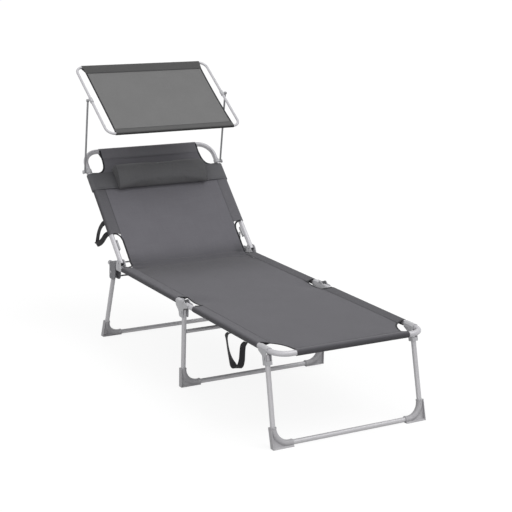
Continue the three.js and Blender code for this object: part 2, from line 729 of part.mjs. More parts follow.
const footSheetTop = footZ + SLEEVE_R;
const footSleeveStart = -FOOT_SLEEVE_START;
const footSleeveEnd = footBarY + FRONT_CORNER_ALONG + FRAME_R;
const footEdge = [
  ...hollowSide(FRAME_HALF, -FOLD_SLIT, footSleeveStart, SIDE_CUTOUT),
  ...hollowCorner(FRAME_HALF, footBarY + FRAME_R, FRONT_CORNER_ACROSS, FRONT_CORNER_ALONG, FRONT_CORNER_POWER),
  [FRAME_HALF - FRONT_CORNER_ACROSS, footBarY],
];
const footSheet = extrude(sheetOutline(footEdge), FABRIC).translate(0, 0, footSheetTop - FABRIC);
const barSleeveHalf = FRAME_HALF - FRONT_SLEEVE_INSET;
const barSleeve = sleeveX(barSleeveHalf, footBarY, footZ);
const footSleeveAlong = [footSleeveEnd, footSleeveStart];
const footSleeves = SIDES.map(([, sign]) => sleeve(sign * FRAME_HALF, footSleeveAlong, footZ));
addPiece(foot, "seat_fabric_foot", carve([footSheet, barSleeve, ...footSleeves]), CHARCOAL_FABRIC);

// A carry loop: webbing sewn round a side tube's sleeve in two places, hanging in a narrowing loop
function carryLoop(at, z, spread, drop, out) {
  const outer = (spread + STRAP_WIDTH) / 2;
  const inner = (spread - STRAP_WIDTH) / 2;
  const tip = STRAP_WIDTH * STRAP_TIP_SHARE;
  const low = z - drop;
  const high = z + STRAP;
  const waist = z - drop * STRAP_WAIST_SHARE;
  const shape = new THREE.Shape();
  shape.moveTo(at - outer, high);
  shape.lineTo(at - outer, z);
  shape.bezierCurveTo(at - outer, waist, at - STRAP_WIDTH, low, at, low);
  shape.bezierCurveTo(at + STRAP_WIDTH, low, at + outer, waist, at + outer, z);
  shape.lineTo(at + outer, high);
  shape.lineTo(at + inner, high);
  shape.lineTo(at + inner, z);
  shape.bezierCurveTo(at + inner, waist, at + tip, low + STRAP_WIDTH, at, low + STRAP_WIDTH);
  shape.bezierCurveTo(at - tip, low + STRAP_WIDTH, at - inner, waist, at - inner, z);
  shape.lineTo(at - inner, high);
  shape.closePath();
  const x = -FRAME_HALF;
  const band = alongX(extrude(shape, STRAP, STRAP_STEPS)).translate(x - out - STRAP, 0, 0);
  const wrapIn = SLEEVE_R + GAP;
  const wrapOut = wrapIn + STRAP;
  const parts = [band];
  for (const y of [at - spread / 2, at + spread / 2]) {
    const along = [y - STRAP_WIDTH / 2, y + STRAP_WIDTH / 2];
    parts.push(ringY(boreRadius(wrapOut, TUBE_SIDES), boreRadius(wrapIn, TUBE_SIDES), x, along, z));
    parts.push(box([x - out - STRAP, x - wrapIn], along, [z, high]));
  }
  const reach = wrapOut + CUT;
  const openInside = box([x, x + reach], [at - outer - CUT, at + outer + CUT], [z, z + reach]);
  return carve(parts, [openInside]);
}

const footStrapAt = FOOT_STRAP_AT - FOOT_HINGE_Y;
const footStrapOut = LEG_SPREAD + SHOE_OUTER + RUNNING_GAP;
const footStrap = carryLoop(footStrapAt, footZ, FOOT_STRAP_SPREAD, FOOT_STRAP_DROP, footStrapOut);
addPiece(foot, "foot_carry_loop", footStrap, BLACK_WEBBING);

// Legs: a bent tube in its own frame, hanging down -Z from the pivot, with a moulded shoe on each corner,
// and where barDrop is given a cross bar so far below the pivot
function addLeg(parent, name, position, tilt, drop, barDrop = 0) {
  const leg = addGroup(parent, position, tilt);
  const length = (drop - LEG_BAR_HEIGHT) / Math.cos(tilt * RAD);
  const lowHalf = FRAME_HALF + LEG_SPREAD;
  const topX = (z) => FRAME_HALF - (LEG_SPREAD * z) / length;
  const corners = [
    vec(-topX(LEG_TOP), 0, LEG_TOP),
    vec(-lowHalf, 0, -length),
    vec(lowHalf, 0, -length),
    vec(topX(LEG_TOP), 0, LEG_TOP),
  ];
  const path = new BentPath(corners, LEG_BEND);
  const tube = sweep(path, ring(LEG_R, LEG_R - TUBE_WALL));
  const holes = SIDES.map(([, sign]) => rivetHole(sign * FRAME_HALF, LEG_R + CUT, 0, 0));
  addPiece(leg, `${name}_leg_tube`, carve([tube], holes), LEG_SILVER);

  const wide = lowHalf + SHOE_OUTER + CUT;
  const ground = box([-wide, wide], [-drop, drop], [-drop - SHOE_HEIGHT, -drop]);
  ground.rotateX(-tilt * RAD);
  const bore = sweep(path, disc(boreRadius(LEG_R + GAP, TUBE_SIDES)));
  for (const [side, sign] of SIDES) {
    const x = (across) => sign * (lowHalf + across);
    const low = -length - 2 * LEG_BAR_HEIGHT;
    const innerR = LEG_BEND - SHOE_INNER;
    const centre = [-LEG_BEND, -length + LEG_BEND];
    const outline = new THREE.Shape();
    outline.moveTo(x(SHOE_OUTER), low);
    outline.lineTo(x(SHOE_OUTER), -length + SHOE_HEIGHT);
    outline.lineTo(x(-SHOE_INNER), -length + SHOE_HEIGHT);
    for (let i = 0; i <= BEND_STEPS; i += 1) {
      const a = (-i / BEND_STEPS) * (Math.PI / 2);
      outline.lineTo(x(centre[0] + innerR * Math.cos(a)), centre[1] + innerR * Math.sin(a));
    }
    outline.lineTo(x(-SHOE_LENGTH), -length + SHOE_INNER);
    outline.lineTo(x(-SHOE_LENGTH), low);
    outline.closePath();
    const body = alongY(extrude(outline, SHOE_THICKNESS)).translate(0, SHOE_THICKNESS / 2, 0);
    addPiece(leg, `${name}_leg_shoe_${side}`, carve([body], [bore, ground]), GREY_PLASTIC);
  }
  if (barDrop > 0) {
    const barEnd = topX(-barDrop);
    const bar = barX(MIDDLE_BAR_R, [-barEnd, barEnd], 0, -barDrop);
    addPiece(leg, `${name}_leg_cross_bar`, carve([bar], [bore]), LEG_SILVER);
  }
  return leg;
}

addLeg(foot, "front", vec(0, frontLegY, frontLegZ), -FRONT_LEG_TILT, AXIS_Z - FRONT_LEG_DROP);
const middleDrop = MIDDLE_LEG_Z - MIDDLE_LEG_CLEARANCE;
addLeg(lounger, "middle", vec(0, MIDDLE_LEG_Y, MIDDLE_LEG_Z), -MIDDLE_LEG_TILT, middleDrop, MIDDLE_BAR_DROP);
addLeg(lounger, "rear", vec(0, REAR_LEG_Y, REAR_LEG_Z), REAR_LEG_TILT, REAR_LEG_Z);

// Backrest, drawn in its own frame: +Y up its tubes from the recline hinge, +Z out of its front
const backrest = addGroup(lounger, vec(0, RECLINE_HINGE_Y, RECLINE_Z), BACKREST_ANGLE);
const topBar = BACKREST_LENGTH - FRAME_R;
const backPath = new BentPath([
  vec(-FRAME_HALF, BACK_TUBE_START, 0),
  vec(-FRAME_HALF, topBar, 0),
  vec(FRAME_HALF, topBar, 0),
  vec(FRAME_HALF, BACK_TUBE_START, 0),
], BACK_BEND);
const backTube = sweep(backPath, ring(FRAME_R, FRAME_R - TUBE_WALL));
const backHoles = SIDES.map(([, sign]) => rivetHole(sign * FRAME_HALF, FRAME_R + CUT, 0, 0));
addPiece(backrest, "backrest_frame_tube", carve([backTube], backHoles), SILVER);

for (const [side, sign] of SIDES) {
  const x = sign * FRAME_HALF;
  const plugProfile = [
    new THREE.Vector2(0, -BACK_PLUG_DEPTH),
    new THREE.Vector2(FRAME_R - BACK_PLUG_RIM, -BACK_PLUG_DEPTH),
    new THREE.Vector2(FRAME_R, -BACK_PLUG_RIM),
    new THREE.Vector2(FRAME_R, -GAP),
    new THREE.Vector2(SPIGOT_R, -GAP),
    new THREE.Vector2(SPIGOT_R, BACK_PLUG_GRIP),
    new THREE.Vector2(0, BACK_PLUG_GRIP),
  ];
  const plug = new THREE.LatheGeometry(plugProfile, TUBE_SIDES).rotateY(HALF_SIDE_TURN);
  addPiece(backrest, `backrest_tube_plug_${side}`, plug.translate(x, BACK_TUBE_START, 0), BLACK_PLASTIC);

  const rack = new THREE.Shape();
  rack.moveTo(RACK_FROM, RACK_FRONT);
  rack.lineTo(RACK_FROM, -RACK_BACK);
  const pitch = (RACK_TO - RACK_FROM) / RACK_TEETH;
  for (let i = 0; i < RACK_TEETH; i += 1) {
    const from = RACK_FROM + i * pitch;
    rack.lineTo(from + pitch * RACK_LAND_SHARE, -RACK_BACK);
    rack.lineTo(from + pitch * RACK_LAND_SHARE, -RACK_BACK + RACK_TOOTH);
    rack.lineTo(from + pitch, -RACK_BACK);
  }
  rack.lineTo(RACK_TO, RACK_FRONT);
  rack.closePath();
  const rackX = mirrored(sign, FRAME_HALF - RACK_INSET, FRAME_HALF - FRAME_R - GAP);
  const rackBar = alongX(extrude(rack, rackX[1] - rackX[0])).translate(rackX[0], 0, 0);
  addPiece(backrest, `recline_rack_${side}`, rackBar, DARK_STEEL);
}

const backSideEnd = topBar - TOP_CORNER_ALONG;
const cornerStep = BACK_CUTOUT_CORNER * (1 - Math.SQRT1_2);
const backEdge = [
  [FRAME_HALF - BACK_CUTOUT, -BACK_FABRIC_DROP],
  [FRAME_HALF - BACK_CUTOUT, BACK_SLEEVE_START - BACK_CUTOUT_CORNER],
  [FRAME_HALF - BACK_CUTOUT + cornerStep, BACK_SLEEVE_START - cornerStep],
  [FRAME_HALF - BACK_CUTOUT + BACK_CUTOUT_CORNER, BACK_SLEEVE_START],
  [FRAME_HALF, BACK_SLEEVE_START],
  ...hollowCorner(FRAME_HALF, topBar, TOP_CORNER_ACROSS, -TOP_CORNER_ALONG, TOP_CORNER_POWER),
];
const backSheet = extrude(sheetOutline(backEdge), FABRIC).translate(0, 0, SLEEVE_R - FABRIC);
const topSleeveHalf = FRAME_HALF - TOP_CORNER_ACROSS;
const topSleeve = sleeveX(topSleeveHalf, topBar, 0);
const backSleeveAlong = [BACK_SLEEVE_START, backSideEnd];
const backSleeves = SIDES.map(([, sign]) => sleeve(sign * FRAME_HALF, backSleeveAlong, 0));
addPiece(backrest, "backrest_fabric", carve([backSheet, topSleeve, ...backSleeves]), CHARCOAL_FABRIC);

const backStrapOut = SLEEVE_R + GAP;
const backStrap = carryLoop(BACK_STRAP_AT, 0, BACK_STRAP_SPREAD, BACK_STRAP_DROP, backStrapOut);
addPiece(backrest, "backrest_carry_loop", backStrap, BLACK_WEBBING);

// Canopy pivots: a clamp round the backrest tube with a stud, the canopy rod's eye and a knob
const STUD_BORE = boreRadius(STUD_R + GAP, TUBE_SIDES);
const rodX = FRAME_HALF + ROD_OFFSET;
const studEnd = rodX + ROD_R + GAP + KNOB_DEPTH / 2;
for (const [side, sign] of SIDES) {
  const x = sign * FRAME_HALF;
  const clampR = BORE_R + PIVOT_CLAMP_WALL;
  const along = [CANOPY_PIVOT_AT - PIVOT_CLAMP / 2, CANOPY_PIVOT_AT + PIVOT_CLAMP / 2];
  const clamp = ringY(boreRadius(clampR, TUBE_SIDES), boreRadius(BORE_R, TUBE_SIDES), x, along, 0);
  const root = FRAME_HALF + BORE_R + GAP;
  const boss = barX(RIVET_HEAD_R, mirrored(sign, root, rodX - ROD_R - GAP), CANOPY_PIVOT_AT, 0);
  const stud = barX(STUD_R, mirrored(sign, root, studEnd), CANOPY_PIVOT_AT, 0);
  addPiece(backrest, `canopy_pivot_${side}`, carve([clamp, boss, stud]), GREY_PLASTIC);

  const knobFace = rodX + ROD_R + GAP;
  const knob = barX(KNOB_R, mirrored(sign, knobFace, knobFace + KNOB_DEPTH), CANOPY_PIVOT_AT, 0);
  const socket = barX(STUD_BORE, mirrored(sign, knobFace - CUT, studEnd + GAP), CANOPY_PIVOT_AT, 0);
  addPiece(backrest, `canopy_knob_${side}`, carve([knob], [socket]), BLACK_PLASTIC);
}

// Recline stay: a rod between the rear blocks with an arm at each end, up to the backrest's racks
const stay = addGroup(lounger, vec(0, STAY_Y, STAY_Z), STAY_ANGLE);
const stayArmOut = FRAME_HALF - RACK_INSET - RUNNING_GAP;
const stayArmIn = stayArmOut - STAY_ARM;
const stayPinReach = FRAME_HALF - BLOCK_OUT + ROD_SEAT;
const stayParts = [barX(STAY_ROD_R, [-stayArmIn - GAP, stayArmIn + GAP], 0, 0, ROD_SIDES)];
const armHalf = STAY_ARM_WIDTH / 2;
const armShape = new THREE.Shape();
armShape.absarc(STAY_LENGTH, 0, armHalf, -Math.PI / 2, Math.PI / 2, false);
armShape.absarc(0, 0, armHalf, Math.PI / 2, (3 * Math.PI) / 2, false);
armShape.closePath();
for (const sign of [-1, 1]) {
  const arm = alongX(extrude(armShape, STAY_ARM, ROUNDING_STEPS));
  const pivotPin = mirrored(sign, stayArmIn + GAP, stayPinReach);
  const rackPin = mirrored(sign, stayArmIn + GAP, stayArmOut + RACK_PIN);
  stayParts.push(arm.translate(mirrored(sign, stayArmIn, stayArmOut)[0], 0, 0));
  stayParts.push(barX(STAY_PIN_R, pivotPin, 0, 0, ROD_SIDES));
  stayParts.push(barX(STAY_PIN_R, rackPin, STAY_LENGTH, 0, ROD_SIDES));
}
addPiece(stay, "recline_stay", carve(stayParts), STEEL);

// Headrest: a wide band round the backrest with a bolster on its front, free to slide along the tubes
const headrest = addGroup(backrest, vec(0, BAND_AT, 0));
const bandIn = SLEEVE_R + RUNNING_GAP;
const bandOut = bandIn + BAND_FABRIC;
function stadium(target, half, r) {
  target.absarc(half, 0, r, -Math.PI / 2, Math.PI / 2, false);
  target.absarc(-half, 0, r, Math.PI / 2, (3 * Math.PI) / 2, false);
  target.closePath();
  return target;
}
const bandShape = stadium(new THREE.Shape(), FRAME_HALF, bandOut);
bandShape.holes.push(stadium(new THREE.Path(), FRAME_HALF, bandIn));
const band = alongY(extrude(bandShape, BAND_WIDTH)).translate(0, BAND_WIDTH / 2, 0);
addPiece(headrest, "headrest_band", band, DARK_FABRIC);

// The outline of the bolster's section, as shares of its half height and its depth: a front that is
// thin at its foot and fullest above its middle, and a flat back on the band
function bolsterSection() {
  const outline = [];
  for (let k = 0; k <= PILLOW_FRONT_STEPS; k += 1) {
    const a = (Math.PI * k) / PILLOW_FRONT_STEPS;
    outline.push([PILLOW_LEAN_SHARE * Math.sin(a) ** 2 - Math.cos(a), Math.sin(a)]);
  }
  for (let k = 1; k < PILLOW_BACK_STEPS; k += 1) {
    outline.push([1 - (2 * k) / PILLOW_BACK_STEPS, 0]);
  }
  return outline;
}

// The bolster: rings of that section, drawn in towards its two ends
function bolster() {
  const section = bolsterSection();
  const sides = section.length;
  const positions = [];
  const triangles = [];
  for (let i = 0; i <= PILLOW_RINGS; i += 1) {
    const t = (2 * i) / PILLOW_RINGS - 1;
    const x = PILLOW_HALF * Math.sin((t * Math.PI) / 2);
    const full = Math.sqrt(Math.max(0, 1 - (Math.abs(x) / PILLOW_HALF) ** PILLOW_END_POWER));
    const height = (PILLOW_HEIGHT / 2) * (PILLOW_END_HEIGHT_SHARE + (1 - PILLOW_END_HEIGHT_SHARE) * full);
    const depth = PILLOW_DEPTH * (PILLOW_END_DEPTH_SHARE + (1 - PILLOW_END_DEPTH_SHARE) * full);
    section.forEach(([up, out]) => positions.push(x, height * up, depth * out));
  }
  for (let i = 0; i < PILLOW_RINGS; i += 1) {
    for (let k = 0; k < sides; k += 1) {
      const a = i * sides + k;
      const b = i * sides + ((k + 1) % sides);
      const c = a + sides;
      const d = b + sides;
      triangles.push(a, d, b, a, c, d);
    }
  }
  const last = PILLOW_RINGS * sides;
  for (let k = 1; k < sides - 1; k += 1) {
    triangles.push(0, k, k + 1);
    triangles.push(last, last + k + 1, last + k);
  }
  const geometry = new THREE.BufferGeometry();
  geometry.setAttribute("position", new THREE.Float32BufferAttribute(positions, 3));
  geometry.setIndex(triangles);
  return geometry;
}
addPiece(headrest, "headrest_pillow", bolster().translate(0, 0, bandOut + GAP), DARK_FABRIC);

// Canopy rods, outside the backrest tubes, in a frame whose +Z runs up the rods
const arms = addGroup(backrest, vec(0, CANOPY_PIVOT_AT, 0), ARM_LEAN - 90 - BACKREST_ANGLE);
for (const [side, sign] of SIDES) {
  const x = sign * rodX;
  const across = [x - ROD_R, x + ROD_R];
  const rod = extrude(disc(ROD_R, ROD_SIDES), ARM_LENGTH).translate(x, 0, 0);
  const eyes = [0, ARM_LENGTH].map((z) => barX(ROD_EYE_R, across, 0, z));
  const through = [across[0] - CUT, across[1] + CUT];
  const bores = [0, ARM_LENGTH].map((z) => barX(STUD_BORE, through, 0, z));
  addPiece(arms, `canopy_rod_${side}`, carve([rod, ...eyes], bores), SILVER);
}

// Canopy: a tube loop with its joint hidden in the rear sleeve, a taut sheet and a clip on each side
const canopy = addGroup(arms, vec(0, 0, ARM_LENGTH), CANOPY_SLOPE - (ARM_LEAN - 90));
const canopyHalfDepth = CANOPY_DEPTH / 2;
const loopPath = new BentPath([
  vec(GAP, canopyHalfDepth, 0),
  vec(CANOPY_HALF, canopyHalfDepth, 0),
  vec(CANOPY_HALF, -canopyHalfDepth, 0),
  vec(-CANOPY_HALF, -canopyHalfDepth, 0),
  vec(-CANOPY_HALF, canopyHalfDepth, 0),
  vec(-GAP, canopyHalfDepth, 0),
], CANOPY_BEND);
addPiece(canopy, "canopy_frame_tube", sweep(loopPath, ring(CANOPY_R, CANOPY_R - TUBE_WALL)), SILVER);

const canopySleeveR = CANOPY_R + GAP + FABRIC;
const canopyEdge = [];
for (let i = 0; i <= CANOPY_SIDE_STEPS; i += 1) {
  const along = (2 * i) / CANOPY_SIDE_STEPS - 1;
  canopyEdge.push([CANOPY_FABRIC_HALF - CANOPY_SIDE_HOLLOW * (1 - along ** 2), canopyHalfDepth * along]);
}
const canopySheet = extrude(sheetOutline(canopyEdge), FABRIC).translate(0, 0, CANOPY_R + GAP);
const canopyBore = boreRadius(CANOPY_R + GAP, TUBE_SIDES);
const canopyAcross = [-CANOPY_FABRIC_HALF, CANOPY_FABRIC_HALF];
const canopySleeves = [-1, 1].map((end) =>
  ringX(canopySleeveR, canopyBore, canopyAcross, end * canopyHalfDepth, 0));
addPiece(canopy, "canopy_fabric", carve([canopySheet, ...canopySleeves]), SHADE_FABRIC);

for (const [side, sign] of SIDES) {
  const x = sign * CANOPY_HALF;
  const inner = CANOPY_R + GAP;
  const outer = inner + CLIP_WALL;
  const headFace = rodX + ROD_R + GAP;
  const along = [-CLIP_LENGTH / 2, CLIP_LENGTH / 2];
  const clamp = ringY(boreRadius(outer, TUBE_SIDES), canopyBore, x, along, 0);
  const stud = barX(STUD_R, mirrored(sign, CANOPY_HALF + inner + GAP, headFace + RIVET_HEAD), 0, 0);
  const head = barX(RIVET_HEAD_R, mirrored(sign, headFace, headFace + RIVET_HEAD), 0, 0);
  addPiece(canopy, `canopy_clip_${side}`, carve([clamp, stud, head]), BLACK_PLASTIC);
}

// The origin is the middle of the box round the whole lounger, on the ground
lounger.updateMatrixWorld(true);
const extent = new THREE.Box3().setFromObject(lounger, true);
const middle = extent.getCenter(new THREE.Vector3());
lounger.position.set(-middle.x, -middle.y, -extent.min.z);
lounger.updateMatrixWorld(true);

export default lounger;
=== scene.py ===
import math

import bpy
import numpy as np
from mathutils import Matrix, Vector
from mathutils.bvhtree import BVHTree


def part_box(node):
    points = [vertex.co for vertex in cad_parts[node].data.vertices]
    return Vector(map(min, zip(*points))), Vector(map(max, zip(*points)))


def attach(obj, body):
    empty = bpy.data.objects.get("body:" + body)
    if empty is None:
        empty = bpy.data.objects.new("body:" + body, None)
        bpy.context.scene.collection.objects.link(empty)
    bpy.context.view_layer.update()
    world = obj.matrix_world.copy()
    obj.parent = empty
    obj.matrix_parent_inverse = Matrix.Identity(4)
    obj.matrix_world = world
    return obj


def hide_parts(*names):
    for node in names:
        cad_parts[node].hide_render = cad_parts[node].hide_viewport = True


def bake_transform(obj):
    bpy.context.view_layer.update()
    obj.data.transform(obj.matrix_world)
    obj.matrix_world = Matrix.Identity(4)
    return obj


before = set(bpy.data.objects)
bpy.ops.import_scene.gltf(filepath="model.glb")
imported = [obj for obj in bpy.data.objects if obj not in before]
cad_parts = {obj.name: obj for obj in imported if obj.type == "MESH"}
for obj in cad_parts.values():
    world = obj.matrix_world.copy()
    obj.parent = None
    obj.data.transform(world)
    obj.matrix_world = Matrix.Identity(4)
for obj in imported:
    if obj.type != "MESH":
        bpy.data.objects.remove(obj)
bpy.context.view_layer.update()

scene = bpy.context.scene
SIDES = (("left", -1), ("right", 1))
UP = (0, 0, 1)
AHEAD = (0, 1, 0)

HALF = 0.338            # half the distance between the side tubes' axes
AXIS_Z = 0.367          # height of the seat frame's axis
FRAME_R = 0.011
LEG_R = 0.010
SHADE_R = 0.006
FOOT_HINGE_Y = 0.746
RECLINE = (1.375, 0.394)
SLEEVE_R = 0.0128
SHEET_Z = 0.3745        # top of the seat's sheet, a little lower than the sleeves' tops
BACK_N = 0.0075         # how far the backrest's sheet lies in front of its tubes' axis
CLOTH = 0.0012
HEM = 0.046             # from a side tube's axis to the hem's stitched inner edge
BAR_Y = 0.011
TOP_BAR = 0.604

hinge_low, hinge_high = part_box("foot_hinge_rivet_left")
SHIFT = (hinge_low.y + hinge_high.y) / 2 - FOOT_HINGE_Y


def columns(*values):
    """Arrays and numbers side by side, as the columns of one array."""
    return np.stack(np.broadcast_arrays(*values), axis=1)


def unit(vectors):
    """Vectors of the same directions and of length one."""
    return vectors / np.maximum(np.linalg.norm(vectors, axis=-1, keepdims=True), 1e-12)


# Places in which pieces are drawn: an origin and a turn about X in degrees
def turned(origin, angle, points):
    """Points drawn in a turned place, as points of the whole scene."""
    p = np.asarray(points, float).reshape(-1, 3)
    c, s = math.cos(math.radians(angle)), math.sin(math.radians(angle))
    y = origin[1] + p[:, 1] * c - p[:, 2] * s
    z = origin[2] + p[:, 1] * s + p[:, 2] * c
    return columns(origin[0] + p[:, 0], y, z)


BACK_ANGLE, ARM_LEAN, SHADE_SLOPE = 45, 6, 34.5
PIVOT_AT, ARM_LENGTH = 0.497, 0.340
back_origin = (0, RECLINE[0] + SHIFT, RECLINE[1])
arm_origin = tuple(turned(back_origin, BACK_ANGLE, [(0, PIVOT_AT, 0)])[0])
shade_origin = tuple(turned(arm_origin, ARM_LEAN, [(0, 0, ARM_LENGTH)])[0])
PLACES = {
    "level": ((0, SHIFT, 0), 0),
    "back": (back_origin, BACK_ANGLE),
    "arms": (arm_origin, ARM_LEAN),
    "shade": (shade_origin, SHADE_SLOPE),
    "front_leg": ((0, 0.086 + SHIFT, 0.335), -13.4),
    "middle_leg": ((0, 0.757 + SHIFT, 0.331), -0.9),
    "rear_leg": ((0, 1.446 + SHIFT, 0.335), 15.7),
}


def placed(place, points):
    origin, angle = PLACES[place]
    return turned(origin, angle, points)


def levelled(place, points):
    """Points drawn in one place, as points of the level place."""
    return placed(place, points) - (0, SHIFT, 0)


def within(place, points):
    """Points of the whole scene, as points of a place."""
    origin, angle = PLACES[place]
    return turned((0, 0, 0), -angle, np.asarray(points, float) - origin)


def direction(place, vector):
    return turned((0, 0, 0), PLACES[place][1], [vector])[0]


# Materials
def srgb(value):
    """The linear value of an sRGB value from 0 to 255."""
    v = value / 255
    return v / 12.92 if v <= 0.04045 else ((v + 0.055) / 1.055) ** 2.4


class Tree:
    """The nodes of a material or of the world, with short calls for them."""

    def __init__(self, owner):
        owner.use_nodes = True
        self.owner, self.tree = owner, owner.node_tree

    def own(self, kind):
        return next(n for n in self.tree.nodes if n.type == kind)

    def add(self, kind, props=None, **inputs):
        node = self.tree.nodes.new(kind)
        for key, value in (props or {}).items():
            setattr(node, key, value)
        for key, value in inputs.items():
            self.put(node, key, value)
        return node

    def put(self, node, key, value):
        """Sets or links an input, which is given by its name or as i and its number."""
        socket = node.inputs[int(key[1:])] if key[0] == "i" and key[1:].isdigit() else node.inputs[key]
        if isinstance(value, bpy.types.NodeSocket):
            self.tree.links.new(value, socket)
        else:
            socket.default_value = value

    def math(self, operation, *values):
        node = self.add("ShaderNodeMath", {"operation": operation})
        for i, value in enumerate(values):
            self.put(node, f"i{i}", value)
        return node.outputs[0]

    def times(self, first, *others):
        for value in others:
            first = self.math("MULTIPLY", first, value)
        return first

    def noise(self, vector, scale, detail=2.0, rough=0.5):
        node = self.add("ShaderNodeTexNoise", Vector=vector, Scale=scale, Detail=detail, Roughness=rough)
        return node.outputs["Fac"]

    def stretch(self, vector, factors):
        return self.add("ShaderNodeVectorMath", {"operation": "MULTIPLY"}, i0=vector, i1=factors).outputs[0]

    def ranged(self, value, a, b, c, d):
        """value, from a..b, mapped to c..d and held there."""
        node = self.add("ShaderNodeMapRange", Value=value)
        for key, number in (("From Min", a), ("From Max", b), ("To Min", c), ("To Max", d)):
            self.put(node, key, number)
        return node.outputs[0]

    def tint(self, rgb, factor):
        """An sRGB colour times a varying factor."""
        linear = [srgb(value) for value in rgb]
        return self.add("ShaderNodeVectorMath", {"operation": "SCALE"}, i0=linear, Scale=factor).outputs[0]

    def bump(self, height, distance, strength, normal=None):
        node = self.add("ShaderNodeBump", Height=height, Distance=distance, Strength=strength)
        if normal is not None:
            self.put(node, "Normal", normal)
        return node.outputs[0]

    def shader(self, **sockets):
        """Sets or links the inputs of the material's shader."""
        for key, value in sockets.items():
            self.put(self.own("BSDF_PRINCIPLED"), key.replace("_", " "), value)


def cloth(name, rgb, pitch, crevice_shade=0.2, fleck=0.1, depth=0.00018, rib=1.0, vector="UV"):
    """A plain-woven cloth: threads of the given pitch that cross over and under each other, with painted
    shade in the low places between them.
    """
    t = Tree(bpy.data.materials.new(name))
    if vector == "UV":
        at = t.add("ShaderNodeUVMap").outputs[0]
    else:
        at = t.add("ShaderNodeTexCoord").outputs["Object"]
    split = t.add("ShaderNodeSeparateXYZ", Vector=at)
    u, v = split.outputs[0], split.outputs[1]
    if vector != "UV":
        v = t.math("SUBTRACT", split.outputs[2], v)
    fu, fv = t.math("DIVIDE", u, pitch), t.math("DIVIDE", v, pitch * rib)
    over_u, over_v = (t.math("ABSOLUTE", t.math("SINE", t.times(f, math.pi))) for f in (fu, fv))
    crossing = t.math("ADD", t.math("FLOOR", fu), t.math("FLOOR", fv))
    parity = t.math("ABSOLUTE", t.math("MODULO", crossing, 2.0))
    mix = t.add("ShaderNodeMix", {"data_type": "FLOAT"}, i0=parity)
    for key, a, b in (("i2", over_u, over_v), ("i3", over_v, over_u)):
        t.put(mix, key, t.times(t.math("SQRT", a), t.math("MULTIPLY_ADD", b, 0.5, 0.5)))
    height = mix.outputs[0]
    long_way = t.noise(t.stretch(at, (1 / pitch, 9.0, 9.0)), 1.0, 3)
    cross_way = t.noise(t.stretch(at, (9.0, 1 / pitch, 1 / pitch)), 1.0, 3)
    streak = t.math("ADD", long_way, cross_way)
    cloudy = t.noise(at, 7.0, 4, 0.6)
    # Painted shade and light: the points' stored value darkens the cloth, or lightens it where below zero.
    darker = t.add("ShaderNodeAttribute", {"attribute_name": "shade"}).outputs["Fac"]
    # Painted shade: the low places between crossing threads are darkened.
    shade = t.times(t.ranged(height, 0, 1, 1 - crevice_shade, 1.0),
        t.ranged(streak, 0.6, 1.4, 1 - fleck, 1 + fleck),
        t.ranged(cloudy, 0.3, 0.7, 0.965, 1.035), t.math("SUBTRACT", 1.0, darker))
    t.shader(Base_Color=t.tint(rgb, shade), Roughness=t.ranged(height, 0, 1, 0.94, 0.86),
        Normal=t.bump(height, depth, 0.6, t.bump(cloudy, 0.0015, 0.25)),
        Sheen_Weight=0.12, Sheen_Roughness=0.5, Specular_IOR_Level=0.25)
    return t.owner


def coated(name, rgb, metal, rough, fleck=0.05):
    """Powder coat or plating on metal: fine flakes, an orange-peel surface, stains and small scuffs."""
    t = Tree(bpy.data.materials.new(name))
    at = t.add("ShaderNodeTexCoord").outputs["Object"]
    flakes = t.noise(at, 2600.0, 2)
    stains = t.noise(at, 11.0, 5, 0.6)
    scuffs = t.ranged(t.noise(t.stretch(at, (1.0, 0.45, 1.0)), 95.0, 6, 0.7), 0.66, 0.78, 0.0, 1.0)
    shade = t.times(t.ranged(flakes, 0.25, 0.75, 1 - fleck, 1 + fleck),
        t.ranged(stains, 0.3, 0.7, 0.96, 1.03), t.ranged(scuffs, 0, 1, 1.0, 0.86))
    worn = t.math("ADD", t.ranged(stains, 0.3, 0.7, rough - 0.05, rough + 0.07), t.times(scuffs, 0.15))
    peel = t.bump(t.noise(at, 420.0, 2), 0.00008, 0.35)
    t.shader(Base_Color=t.tint(rgb, shade), Roughness=worn, Normal=t.bump(flakes, 0.00004, 0.5, peel),
        Metallic=metal)
    return t.owner


def moulded(name, rgb, rough):
    """Moulded plastic: a fine spark-eroded grain, faint flow marks and paler rubbed spots."""
    t = Tree(bpy.data.materials.new(name))
    at = t.add("ShaderNodeTexCoord").outputs["Object"]
    cells = t.add("ShaderNodeTexVoronoi", Vector=at, Scale=1500.0).outputs["Distance"]
    flow = t.noise(t.stretch(at, (1.0, 1.0, 0.3)), 34.0, 4, 0.55)
    rubbed = t.ranged(t.noise(at, 120.0, 5, 0.7), 0.6, 0.8, 0.0, 1.0)
    shade = t.times(t.ranged(cells, 0, 0.8, 0.94, 1.03), t.ranged(flow, 0.3, 0.7, 0.95, 1.04),
        t.ranged(rubbed, 0, 1, 1.0, 1.09))
    worn = t.math("SUBTRACT", t.ranged(flow, 0.3, 0.7, rough, rough + 0.08), t.times(rubbed, 0.1))
    t.shader(Base_Color=t.tint(rgb, shade), Roughness=worn, Specular_IOR_Level=0.4,
        Normal=t.bump(cells, 0.00008, 0.5, t.bump(flow, 0.0003, 0.2)))
    return t.owner


